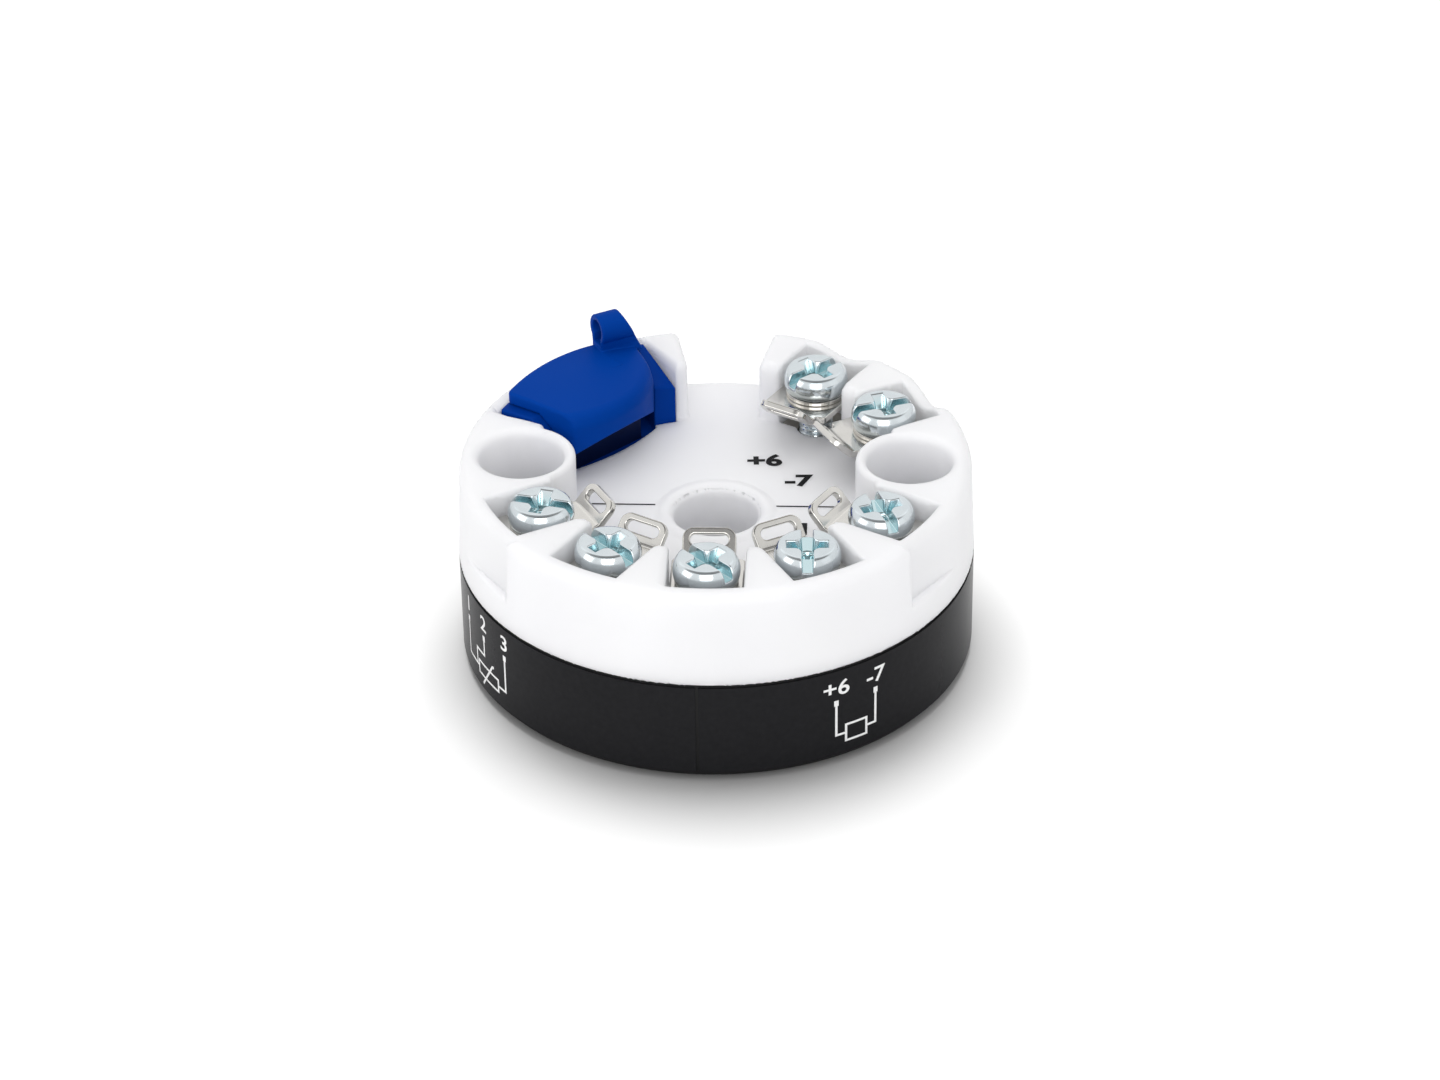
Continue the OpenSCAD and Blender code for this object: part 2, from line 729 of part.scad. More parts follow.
// Blue cover: a lid with a deep nose, a hollow plug for the socket, and the pull loop
module port_cover() {
    plug_l = socket_len - 2 * socket_wall - cover_gap;
    plug_w = socket_w - 2 * socket_wall - cover_gap;
    plug_z = socket_top - socket_well * 0.7;
    color([0, 0.25, 0.65]) at_port() {
        difference() {
            intersection() {
                translate([0, 0, slab_z]) linear_extrude(rim_z) lid_plan(0);
                nose_body(0);
            }
            intersection() {
                translate([0, 0, slab_z]) linear_extrude(rim_z) lid_plan(nose_wall);
                nose_body(nose_wall);
            }
            // Behind the nose the lid only covers the flanges
            difference() {
                translate([0, 0, -rim_z]) cylinder(h = 2 * rim_z, r = 2 * body_r);
                over_flanges(gap);
                cylinder(h = rim_z, r = flange_front_r - cover_gap);
            }
            // The foot of the nose is an arch
            cylinder(h = nose_foot_z - arch_r * 0.19, r = body_r);
            translate([0, arch_side, nose_foot_z - arch_r]) rotate([0, 90, 0])
                cylinder(h = body_r, r = arch_r);
        }
        difference() {
            translate([socket_x, 0, plug_z]) linear_extrude(rim_z - plug_z)
                square([plug_l, plug_w], center = true);
            translate([socket_x, 0, plug_z - over]) linear_extrude(socket_top - plug_z + over)
                square([pin_w * 2.2, contact_count * pin_pitch], center = true);
        }
        pull_loop();
    }
}

module service_socket() {
    color([0.12, 0.12, 0.12]) at_port() translate([socket_x, 0, board_top]) difference() {
        h = socket_top - board_top;
        linear_extrude(h) square([socket_len, socket_w], center = true);
        translate([0, 0, h - socket_well]) linear_extrude(h)
            square([socket_len - 2 * socket_wall, socket_w - 2 * socket_wall], center = true);
        rotate([0, 0, -port_angle]) translate([0, 0, -over]) linear_extrude(h)
            rotate([0, 0, port_angle]) for (k = [0:contact_count - 1])
                translate([0, (k - (contact_count - 1) / 2) * pin_pitch])
                    square(pin_w, center = true);
    }
}

module socket_contacts() {
    low = board_z + board_t / 2;
    high = socket_top - over;
    color("gold") pin_places() translate([0, 0, low])
        linear_extrude(high - low) square(pin_w, center = true);
}

// Threaded contact under each clamp plate, with a leg that is soldered into the board
module contact_block(i) {
    half = contact_w / 2;
    upper_half = bay_w / 2 - gap * 2;
    step_z = slab_z + contact_low_h;
    leg_z = board_z + board_t / 2;
    color([0.8, 0.78, 0.7]) at_terminal(i) difference() {
        union() {
            box_between([contact_in, -half, slab_z], [contact_out, half, step_z]);
            box_between([bay_edge + gap, -upper_half, step_z],
                        [contact_out, upper_half, slab_z + contact_h]);
            translate([leg_x + gap, -leg_w / 2, leg_z]) cube([leg_t, leg_w, slab_z - leg_z + gap]);
        }
        translate([terminal_r, 0, slab_z - over]) cylinder(h = slab_t + over, r = screw_r + screw_play);
    }
}

// Clamp plate: flat under the screw, necked, and bent up into a tab with a slotted eye
module clamp_plate(i) {
    color([0.8, 0.78, 0.74]) at_terminal(i) {
        translate([0, 0, plate_z]) linear_extrude(plate_t) difference() {
            polygon([
                [bend_x, -tab_w / 2], [plate_in, -plate_half_w], [plate_out, -plate_half_w],
                [plate_out, plate_half_w], [plate_in, plate_half_w], [bend_x, tab_w / 2]
            ]);
            translate([terminal_r, 0]) circle(screw_r + screw_play, $fn = 48);
        }
        translate([bend_x, 0, plate_z]) rotate([0, tab_angle, 0]) linear_extrude(plate_t) difference() {
            union() {
                translate([-tab_len / 2, 0]) rounded_rect(tab_len, tab_w, eye_margin * 1.8);
                translate([-tab_len / 2, -tab_w / 2]) square([tab_len / 2, tab_w]);
            }
            translate([-tab_len + eye_margin + eye_h / 2, 0]) rounded_rect(eye_h, eye_w, eye_h * 0.49);
        }
    }
}

module clamp_washer(i) {
    color("silver") at_terminal(i) translate([terminal_r, 0, washer_z]) difference() {
        cylinder(h = washer_t, r = washer_d / 2);
        translate([0, 0, -over]) cylinder(h = washer_t + 2 * over, r = screw_r + screw_play);
    }
}

// Pan-head machine screw with a ring-grooved shank, a slot right across and a shorter cross bar.
// The side of its head bulges, and its top is flat.
module terminal_screw(i) {
    slot_turns = [-13, -46, -45, -88, -68, 41, 20];
    rings = floor((screw_len - over) / screw_pitch);
    root_r = screw_r - thread_depth;
    head_r = head_d / 2;
    land_r = head_r * 0.8;
    foot_r = head_r * 0.9;
    belly_z = head_h * 0.45;
    slot_t = head_d * 0.17;
    slot_z = head_h * 0.5;
    point_z = head_h * 0.25;
    cross_l = head_d * 0.62;
    color([0.85, 0.87, 0.88]) at_terminal(i) translate([terminal_r, 0, head_z]) difference() {
        rotate_extrude($fn = 64) polygon(concat(
            [[0, -screw_len], [root_r, -screw_len]],
            [for (k = [0:rings - 1], s = [0, 1])
                [s == 0 ? root_r : screw_r, -screw_len + (k + s / 2) * screw_pitch]],
            [[root_r, -screw_len + rings * screw_pitch], [root_r, 0]],
            [for (a = [90:-18:18])
                [foot_r + (head_r - foot_r) * cos(a), belly_z - belly_z * sin(a)]],
            [for (a = [0:15:90])
                [land_r + (head_r - land_r) * cos(a), belly_z + (head_h - belly_z) * sin(a)]],
            [[0, head_h]]
        ));
        rotate([0, 0, slot_turns[i - 1] - terminal_angle(i)]) {
            translate([-head_r - over, -slot_t / 2, slot_z]) cube([head_d + 2 * over, slot_t, head_h]);
            translate([-slot_t / 2, -cross_l / 2, slot_z]) cube([slot_t, cross_l, head_h]);
            translate([0, 0, point_z]) cylinder(h = head_h - point_z + over, r1 = slot_t / 2, r2 = slot_t);
        }
    }
}

upper_housing();
base_cup();
label_band();
potting();
circuit_board();
microcontroller();
signal_converter();
isolation_transformer();
board_capacitors();
board_resistors();
port_liner();
port_cover();
service_socket();
socket_contacts();
for (i = [1:7]) contact_block(i);
for (i = [1:7]) clamp_plate(i);
for (i = [1:7]) clamp_washer(i);
for (i = [1:7]) terminal_screw(i);
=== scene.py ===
# %% [markdown]
# # A head-mounted temperature transmitter
# This is the round module that drops into a sensor's connection head. A white moulded housing
# carries seven screw terminals and a blue service port, and a black cup under it holds the
# electronics. The mechanical model comes first, as a fixed frame. Everything made here is
# placed on it in the same coordinates.

import functools
import json
import math

import bpy
import numpy as np
import openvdb
from mathutils import Matrix, Vector


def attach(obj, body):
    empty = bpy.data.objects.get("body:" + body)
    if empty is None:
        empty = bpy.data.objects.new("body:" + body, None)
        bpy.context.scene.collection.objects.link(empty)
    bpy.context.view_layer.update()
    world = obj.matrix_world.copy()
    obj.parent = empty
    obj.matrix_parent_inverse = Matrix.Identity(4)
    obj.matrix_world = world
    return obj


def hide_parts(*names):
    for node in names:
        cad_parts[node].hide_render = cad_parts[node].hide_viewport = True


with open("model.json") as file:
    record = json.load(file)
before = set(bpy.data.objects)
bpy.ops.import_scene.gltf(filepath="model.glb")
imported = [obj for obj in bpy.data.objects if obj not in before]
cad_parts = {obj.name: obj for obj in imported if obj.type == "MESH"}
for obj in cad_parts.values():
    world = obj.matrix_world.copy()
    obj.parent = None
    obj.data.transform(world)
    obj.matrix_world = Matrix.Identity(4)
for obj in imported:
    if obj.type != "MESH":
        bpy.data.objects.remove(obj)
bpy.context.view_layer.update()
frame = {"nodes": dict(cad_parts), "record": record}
MM = 0.001

# %% [markdown]
# ## The camera
# The photograph looks down at about 33 degrees from almost straight in front, through a long
# lens. The lens length and the place follow from how round the two rims look in the picture and
# from the known pitch of the mounting holes. The view transform is Standard, so a colour shows
# as it is written.

# %% Camera
# The lens, the sensor, the camera's distance and its small shift aside and up are in millimetres.
LENS = 106.67
SENSOR_WIDTH = 36
CAMERA_DISTANCE = 371.99
CAMERA_SIDE = 0.3046
CAMERA_LIFT = 7.989
CAMERA_ELEVATION = math.radians(32.881)
CAMERA_AZIMUTH = math.radians(2.918)
CAMERA_ROLL = math.radians(-0.796)

camera_data = bpy.data.cameras.new("studio_camera")
camera_data.lens = LENS
camera_data.sensor_width = SENSOR_WIDTH
camera_data.clip_start = 0.01
camera = bpy.data.objects.new("studio_camera", camera_data)
camera.matrix_world = (
    Matrix.Rotation(CAMERA_AZIMUTH, 4, "Z") @ Matrix.Rotation(math.pi / 2 - CAMERA_ELEVATION, 4, "X")
    @ Matrix.Translation(Vector((CAMERA_SIDE, CAMERA_LIFT, CAMERA_DISTANCE)) * MM)
    @ Matrix.Rotation(CAMERA_ROLL, 4, "Z"))
bpy.context.scene.collection.objects.link(camera)
bpy.context.scene.camera = camera
bpy.context.scene.view_settings.view_transform = "Standard"
print("camera at", tuple(round(c, 4) for c in camera.location), "m")

# %% [markdown]
# ## Helpers
# Blender's sockets want linear light, and colours are easiest to name as the hex values that
# a picture shows, so one function turns hex to linear. A second one adds a node, sets it and
# links it in a single line, which keeps every material short enough to read.


# %% Colour and node helpers
def colour(hex_value):
    """An sRGB hex value such as '#0041A3' as linear red, green, blue and alpha."""
    channels = [int(hex_value[i:i + 2], 16) / 255 for i in (1, 3, 5)]
    return tuple(c / 12.92 if c <= 0.04045 else ((c + 0.055) / 1.055) ** 2.4 for c in channels) + (1,)


def add(tree, kind, inputs=None, **settings):
    """Adds a node of that kind. inputs maps socket names or numbers to values or to outputs."""
    node = tree.nodes.new(kind)
    for name, value in settings.items():
        setattr(node, name, value)
    for key, value in (inputs or {}).items():
        if isinstance(value, bpy.types.NodeSocket):
            tree.links.new(value, node.inputs[key])
        else:
            node.inputs[key].default_value = value
    return node


def blank_material(name):
    """A material with an empty node tree, and that tree."""
    material = bpy.data.materials.new(name)
    material.use_nodes = True
    material.node_tree.nodes.clear()
    return material, material.node_tree


def per_mm(size):
    """The scale of a texture whose features are that many millimetres across."""
    return 1 / (size * MM)


def new_object(name, data):
    """An object with this data, linked to the scene."""
    obj = bpy.data.objects.new(name, data)
    bpy.context.scene.collection.objects.link(obj)
    return obj


def plain_mesh(obj):
    """An object's shape with its modifiers done, as a plain mesh in its place."""
    bpy.context.view_layer.update()
    mesh = bpy.data.meshes.new_from_object(obj.evaluated_get(bpy.context.evaluated_depsgraph_get()))
    obj.modifiers.clear()
    bpy.data.objects.remove(obj)
    return mesh


print("#808080 is", round(colour("#808080")[0], 4), "in linear light")

# %% [markdown]
# ## The table and the tent
# The module stands on a white table in a white tent. The table is a real diffuse surface, so that
# it takes the contact shadow, with a small glow that only the camera sees. The tent shows each
# kind of ray something else. The camera sees plain white. Matt surfaces get light that is strong
# from above and weak from the side, which darkens the bays. Metal mirrors a tent that is bright
# all round and dark overhead, because it looks like metal only when something dark crosses it.

# %% Table
# Width in metres, and the share of plain white that only the camera sees.
FLOOR_SIZE = 3
FLOOR_GLOW = 0.03

floor_material, tree = blank_material("white_table")
paths = add(tree, "ShaderNodeLightPath")
glow = add(tree, "ShaderNodeMath", {0: paths.outputs["Is Camera Ray"], 1: FLOOR_GLOW}, operation="MULTIPLY")
matt = add(tree, "ShaderNodeBsdfDiffuse", {"Color": colour("#B8B8B8")})
light = add(tree, "ShaderNodeEmission", {"Color": colour("#FFFFFF"), "Strength": glow.outputs[0]})
both = add(tree, "ShaderNodeAddShader", {0: matt.outputs[0], 1: light.outputs[0]})
add(tree, "ShaderNodeOutputMaterial", {"Surface": both.outputs[0]})

floor_mesh = bpy.data.meshes.new("table_top")
half = FLOOR_SIZE / 2
corners = [(-half, -half, 0), (half, -half, 0), (half, half, 0), (-half, half, 0)]
floor_mesh.from_pydata(corners, [], [(0, 1, 2, 3)])
floor_mesh.materials.append(floor_material)
floor = new_object("table_top", floor_mesh)
print("table", FLOOR_SIZE, "m wide")

# %% Tent
# Light on matt surfaces, from level directions and from straight above.
HORIZON_LIGHT = 0.15
ZENITH_LIGHT = 1.15
# Brightness that metal mirrors, by the height of a direction: 0 is level, 1 is straight up.
TENT_BANDS = [(0.00, 0.90), (0.20, 0.95), (0.60, 1.00), (0.74, 0.90), (0.84, 0.18), (1.00, 0.14)]

world = bpy.data.worlds.new("white_tent")
world.use_nodes = True
bpy.context.scene.world = world
tree = world.node_tree
tree.nodes.clear()
paths = add(tree, "ShaderNodeLightPath")
way = add(tree, "ShaderNodeSeparateXYZ", {0: add(tree, "ShaderNodeTexCoord").outputs["Generated"]})
tent = add(tree, "ShaderNodeValToRGB", {0: way.outputs["Z"]})
stops = tent.color_ramp.elements
while len(stops) < len(TENT_BANDS):
    stops.new(0.5)
for stop, (height, level) in zip(stops, TENT_BANDS):
    stop.position = height
    stop.color = (level, level, level, 1)
overhead = add(tree, "ShaderNodeMapRange", {"Value": way.outputs["Z"], "To Min": HORIZON_LIGHT,
                                            "To Max": ZENITH_LIGHT})
ambient = add(tree, "ShaderNodeBackground", {"Color": colour("#FFFFFF"), "Strength": overhead.outputs[0]})
mirrored = add(tree, "ShaderNodeBackground", {"Color": tent.outputs[0]})
backdrop = add(tree, "ShaderNodeBackground", {"Color": colour("#FFFFFF")})
seen = ambient
for ray, view in [("Is Glossy Ray", mirrored), ("Is Camera Ray", backdrop)]:
    seen = add(tree, "ShaderNodeMixShader", {0: paths.outputs[ray], 1: seen.outputs[0], 2: view.outputs[0]})
add(tree, "ShaderNodeOutputWorld", {"Surface": seen.outputs[0]})
print("tent bands:", len(stops))

# %% [markdown]
# ## The lamps
# Softboxes are square area lamps. The housing has to stay just under plain white, so that its
# shape shows, and the table has to reach it close round a dark contact shadow. Light linking
# parts the two: four lamps leave the table out, and a fifth lights only the table.


# %% Lamps
LAMP_TARGET = (0, 0, 0.01)


def softbox(name, place, size, watts, table="EXCLUDE"):
    """A square lamp, in metres, that faces the module. table is how it is linked to the table."""
    data = bpy.data.lights.new(name, "AREA")
    data.shape = "SQUARE"
    data.size = size
    data.energy = watts
    lamp = new_object(name, data)
    lamp.location = place
    lamp.rotation_euler = (Vector(LAMP_TARGET) - Vector(place)).to_track_quat("-Z", "Y").to_euler()
    receivers = bpy.data.collections.new(name + "_receivers")
    receivers.objects.link(floor)
    receivers.collection_objects[0].light_linking.link_state = table
    lamp.light_linking.receiver_collection = receivers


softbox("top_softbox", (-0.04, 0.24, 0.60), 0.70, 0.3)
softbox("left_softbox", (-0.62, -0.25, 0.26), 0.40, 0.6)
softbox("right_softbox", (0.62, -0.20, 0.26), 0.40, 0.05)
softbox("front_softbox", (0.02, -0.66, 0.34), 0.50, 1.6)
softbox("table_softbox", (-0.03, 0.17, 0.60), 0.35, 6.6, "INCLUDE")

# %% [markdown]
# ## One pattern for all finishes
# A finish is never quite even. Its colour and its gloss drift in soft clouds, and a finer grain,
# far too fine to draw one by one, gives it relief. Plastic, plating, film and ink differ only in
# the sizes, so one function makes them all from two noises and a bump.


# %% The pattern
def coated(name, colours, clouds, gloss, grain, relief, shading, pooled=None):
    """A material of two colours. clouds and grain are a size in mm and a detail, gloss the lowest
    and highest roughness, relief a depth in mm and a strength, shading other inputs of the
    shader, and pooled a colour for the mesh's recesses."""
    material, tree = blank_material(name)
    place = add(tree, "ShaderNodeTexCoord").outputs["Object"]
    cloud, fine = (add(tree, "ShaderNodeTexNoise", {"Vector": place, "Scale": per_mm(size), "Detail": steps})
                   .outputs["Fac"] for size, steps in (clouds, grain))
    skin = add(tree, "ShaderNodeMix", {"Factor": cloud, 6: colour(colours[0]), 7: colour(colours[1])},
               data_type="RGBA").outputs[2]
    if pooled:
        recess = add(tree, "ShaderNodeAttribute", attribute_name="recess").outputs["Fac"]
        skin = add(tree, "ShaderNodeMix", {"Factor": recess, 6: skin, 7: colour(pooled)},
                   data_type="RGBA").outputs[2]
    rough = add(tree, "ShaderNodeMapRange", {"Value": cloud, "To Min": gloss[0], "To Max": gloss[1]})
    bump = add(tree, "ShaderNodeBump", {"Height": fine, "Distance": relief[0] * MM, "Strength": relief[1]})
    shader = add(tree, "ShaderNodeBsdfPrincipled", {
        "Base Color": skin, "Roughness": rough.outputs[0], "Normal": bump.outputs[0], **shading})
    add(tree, "ShaderNodeOutputMaterial", {"Surface": shader.outputs[0]})
    return material


# %% [markdown]
# ## Moulded plastics
# The housing, the cup and the small plastic pieces are injection moulded. They copy the
# spark-eroded steel of the mould, so they have a very fine even grain. White plastic also lets
# some light in and out again nearby, which softens its shadows. The lacquer, the resin and the
# ceramics inside the cup share this recipe.


# %% Moulded plastic
def moulded(name, base, shade, roughness, grain, depth, shine=0.5, bleed=0.0):
    """Plastic with a mould grain of that size and depth in mm. bleed is the share of light that
    goes in and comes out again."""
    return coated(name, (base, shade), (9, 2.0), (roughness - 0.05, roughness + 0.05), (grain, 3.0),
                  (depth, 0.5), {"IOR": 1.5, "Specular IOR Level": shine, "Subsurface Weight": bleed,
                                 "Subsurface Radius": (1, 1, 1), "Subsurface Scale": 2 * MM})


# Name, two colours, roughness, grain and its depth, and then shine and bleed where they differ.
finishes = {
    # White glass-filled polyester: the mould's fine erosion grain makes it satin, not glossy.
    "white_plastic": moulded("satin_white_polyester", "#F7F7FA", "#F3F3F7", 0.45, 0.16, 0.006, 0.18, 0.6),
    # Black glass-filled polyamide: the cup is smoother and darker than the housing.
    "black_plastic": moulded("black_polyamide", "#131314", "#19191A", 0.40, 0.22, 0.006, 0.22),
    # Blue thermoplastic rubber: matt, with a soft broad sheen and no sharp highlight.
    "blue_rubber": moulded("blue_thermoplastic_rubber", "#003F9E", "#003A96", 0.48, 0.12, 0.010, 0.03),
    # Blue polyamide for the liner: harder and a little glossier than the rubber cover.
    "blue_plastic": moulded("blue_polyamide", "#003892", "#00338A", 0.40, 0.16, 0.006, 0.03),
    # Connector plastic of the service socket, in a dark navy that is painted shade: it stands in for the
    # shadow in the space under the cover's nose.
    "socket_plastic": moulded("shade_painted_navy_connector", "#08153A", "#0A1942", 0.45, 0.10, 0.005, 0.10),
    # Clear-grey casting resin under the board, almost mirror smooth where it levelled itself.
    "potting_resin": moulded("grey_casting_resin", "#4A4D50", "#3E4144", 0.18, 1.2, 0.010),
    # Moulded chip packages have a matt charcoal skin.
    "chip_body": moulded("black_chip_compound", "#232325", "#2B2B2D", 0.55, 0.06, 0.003),
    # Sintered ferrite is dark grey and slightly rough.
    "ferrite": moulded("sintered_ferrite", "#3A3835", "#454340", 0.60, 0.10, 0.008),
    # Solder mask is a green lacquer with a soft gloss.
    "board_laminate": moulded("green_solder_mask", "#14592F", "#0F4A26", 0.30, 0.8, 0.006),
    # Fired ceramic is matt and tan.
    "chip_capacitor": moulded("fired_ceramic_capacitor", "#B79A72", "#A88B64", 0.45, 0.10, 0.004),
    # The glaze on a chip resistor is black and a little glossy.
    "chip_resistor": moulded("glazed_chip_resistor", "#1D1D20", "#29292C", 0.28, 0.08, 0.003),
}
print("not metals:", sorted(finishes))

# %% [markdown]
# ## Plated metals
# Bright nickel and blue-passivated zinc are both nearly mirror smooth, with faint marks from
# stamping and tumbling. Nickel is a neutral grey, and zinc is cooler. The passivation film is
# thickest where the bath drains last, so the screws' recesses turn a pale teal. The mesh marks
# them with an attribute.


# %% Plated metal
def plated(name, base, shade, roughness, mark, depth, pooled=None):
    """Plated metal with fine marks of that size and depth in mm, and a tint where plating pools."""
    return coated(name, (base, shade), (1.6, 3.0), (roughness * 0.75, roughness * 1.3), (mark, 4.0),
                  (depth, 0.6), {"Metallic": 1.0}, pooled)


# Bright nickel on spring brass: neutral and smooth, so it shows the tent's bright and dark parts.
finishes["nickel_plate"] = plated("bright_nickel_on_brass", "#DCDAD6", "#D0CEC9", 0.16, 0.5, 0.004)
# Zinc with a blue passivation on steel: a cool silver, with pale teal in the recesses.
finishes["zinc_steel"] = plated("blue_passivated_zinc", "#DDE3E6", "#CBD4D8", 0.15, 0.35, 0.005, "#C8DFE3")
# Tin on brass: duller and greyer, with blurred reflections.
finishes["tinned_brass"] = plated("tin_plated_brass", "#BDBAB2", "#A9A69F", 0.34, 0.3, 0.006)
# Thin gold on the socket's contacts: warm yellow and still smooth.
finishes["gold_contact"] = plated("gold_plated_contact", "#E3BE6A", "#D6AF58", 0.22, 0.2, 0.003)
print("finishes:", len(finishes))

# %% [markdown]
# ## The label film
# The black band is a printed polyester film. Its surface was never moulded, so it is glossier
# than the cup, and its slow waves bend what it mirrors.

# %% Label film
finishes["label_film"] = coated("black_printed_polyester_film", ("#1C1C1E", "#252527"), (0.5, 4.0),
                                (0.26, 0.26), (5.0, 1.0), (0.02, 0.35),
                                {"IOR": 1.5, "Specular IOR Level": 0.05})
print("finishes:", len(finishes))

# %% [markdown]
# ## Modelling with distance fields
# Moulded pieces have soft edges of many sizes, where a bevel on a cut-up mesh leaves creases.
# Here such a piece is a function instead: for any point it gives the distance to the piece's
# skin, negative inside. Solids are joined with a rounded "and" or "or", whose radius is the
# mould's fillet. The function is sampled on a grid, its zero surface becomes a mesh, and every
# vertex is pulled exactly onto the skin, so the grid leaves no steps. The slope of the same
# function gives the shading normals.


# %% Field helpers
def overlap(*solids):
    """Where all these solids are at once, with sharp edges."""
    return functools.reduce(np.maximum, solids)


def union(*solids):
    """All these solids together, with sharp corners."""
    return functools.reduce(np.minimum, solids)


def round_and(a, b, radius):
    """Where two solids overlap, with the edge between them rounded."""
    rounded = np.hypot(np.maximum(a + radius, 0), np.maximum(b + radius, 0))
    return np.minimum(-radius, np.maximum(a, b)) + rounded


def round_or(a, b, radius):
    """Two solids joined, with the corner between them filled."""
    rounded = np.hypot(np.maximum(radius - a, 0), np.maximum(radius - b, 0))
    return np.maximum(radius, np.minimum(a, b)) - rounded


def turned(x, y, degrees):
    """The same point seen in a frame turned about Z: along that direction, and across it."""
    c, s = math.cos(math.radians(degrees)), math.sin(math.radians(degrees))
    return x * c + y * s, y * c - x * s


def slope_of(shape, points, step=0.01):
    """Value and unit gradient of a field at an array of points."""
    across = [shape(*(points + way).T) - shape(*(points - way).T) for way in step * np.eye(3)]
    grad = np.stack(across, axis=1) / (2 * step)
    size = np.maximum(np.linalg.norm(grad, axis=1, keepdims=True), 1e-6)
    return shape(*points.T), grad / size, size[:, 0]


# %% Fields to meshes
# Grid cells around a piece and in the band on each side of its skin, and how often vertices are
# pulled onto the skin.
MARGIN = 2.5
BAND = 3
PULLS = 3


def cast(name, shape, low, high, pitch, coarse=0.0):
    """A mesh object of the skin of a field, sampled between two corners in millimetres."""
    axes = [np.arange(low[k] - MARGIN * pitch, high[k] + MARGIN * pitch, pitch) for k in range(3)]
    x, y, z = np.meshgrid(*axes, indexing="ij", sparse=True)
    samples = np.broadcast_to(shape(x, y, z), [len(a) for a in axes]).astype(np.float32)
    grid = openvdb.FloatGrid(BAND * pitch)
    grid.copyFromArray(np.clip(samples, -BAND * pitch, BAND * pitch))
    points, triangles, quads = grid.convertToPolygons(isovalue=0.0, adaptivity=coarse)
    points = points * pitch + np.array([a[0] for a in axes])
    for _ in range(PULLS):
        value, normal, size = slope_of(shape, points)
        points = points - normal * np.clip(value / size, -pitch / 2, pitch / 2)[:, None]
    normal = slope_of(shape, points)[1]
    faces = [tuple(f) for f in quads] + [tuple(f) for f in triangles]
    mesh = bpy.data.meshes.new(name)
    mesh.from_pydata((points * MM).tolist(), [], faces)
    mesh.polygons.foreach_set("use_smooth", [True] * len(mesh.polygons))
    mesh.update()
    mesh.normals_split_custom_set_from_vertices(normal.tolist())
    print(name, len(mesh.polygons), "faces")
    return new_object(name, mesh)


def dress(obj, body, slot, *nodes):
    """The finish, the body it rides on and the solids it stands for."""
    obj.data.materials.clear()
    obj.data.materials.append(finishes[slot])
    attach(obj, body)
    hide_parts(*nodes)


# %% [markdown]
# ## The white housing
# The housing is one moulding: a slightly tapered ring with seven open terminal bays, a round
# recess, two deep holes for the mounting screws, a slot for the output wires and a pocket for
# the service port. It is built as the mould was, by taking air away from a turned blank. Each
# piece of air is a plan with a floor. The plans are joined first, with a small radius, which
# rounds the upright corners. The partitions' inner ends are much softer than the sides of the
# bays, so the radius of the top edges changes from place to place.

# %% Sizes of the housing
# Heights above the underside of the cup. This and all that follows is in millimetres.
WELL_TUBE_Z = 6.0
SLAB_Z = 9.0
BASE_H = 9.6
PORT_FLOOR_Z = 10.97
SEAT_Z = 11.04
BLOCK_SPACE_Z = 11.14
FLOOR_Z = 12.4
LOW_RIM_Z = 17.6
RIM_Z = 18.1
# Radii from the module's axis.
WELL_R = 3.6
LIP_R = 4.45
TUBE_R = 4.8
FRONT_RECESS_R = 14.2
PORT_INNER_R = 15.35
BACK_RECESS_R = 15.6
TERMINAL_R = 16.4
SCOOP_R = 18
LOW_RIM_R = 19.3
SPIGOT_R = 20.3
BAY_R = 20.3
RIM_R = 21.75
BODY_R = 22.1
# The mounting holes and the bosses round them.
MOUNT_X = 16.5
MOUNT_R = 3.65
BOSS_R = 4.6
# Bays, with u outwards through the screw: where a bay and its deeper seat start, and the space
# for the contact block under it.
TERMINAL_ANGLES = [-150, -120, -90, -60, -30, 60, 30]
BAY_HALF = 3.2
BAY_START = 12.6
SEAT_START = 15.4
BLOCK_MIDDLE = 16.76
BLOCK_HALF_U = 3.04
BLOCK_HALF_T = 2.9
SCREW_HOLE_R = 1.7
# The slot at the back starts at one y and flares from its half width at another.
SLOT_START = 13.6
SLOT_HALF = 2.9
SLOT_HALF_AT = 14.4
SLOT_FLARE = 0.207
# The service port: s runs outwards at this angle, and the front between its flanges is bowed.
PORT_ANGLE = 135
PORT_FRONT_S = 13.1
PORT_BOW_R = 20
# Its straight sides, left and right: how much they spread for each mm of s, and where they start.
POCKET_SIDES = ((0.268, 3.31), (0.14, 5.74))
INSIDE_SIDES = ((0.268, 1.81), (0.41, -0.13))
SOCKET_S = 16.6
SOCKET_HALF_S = 2.3
SOCKET_HALF_T = 4.3
SOCKET_SPACE_Z = 13
# Radii of the top edges, and how fast one changes into another for each mm.
RIM_EDGE = 0.95
BAY_EDGE = 0.28
SLOT_EDGE = 0.63
BOSS_EDGE = 0.55
RECESS_EDGE = 1.2
EDGE_CHANGE = 0.6
print("height of the housing above the cup:", round(RIM_Z - BASE_H, 2), "mm")


# %% Plans of the service port
def between_sides(s, t, sides):
    """Plan between two slanted straight sides, s along them and t across."""
    (left_spread, left_start), (right_spread, right_start) = sides
    return overlap(t - (left_spread * s + left_start), -t - (right_spread * s + right_start))


def round_socket(s, t, half_s, half_t):
    """Plan of a rectangle with its middle at the socket's."""
    return overlap(np.abs(s - SOCKET_S) - half_s, np.abs(t) - half_t)


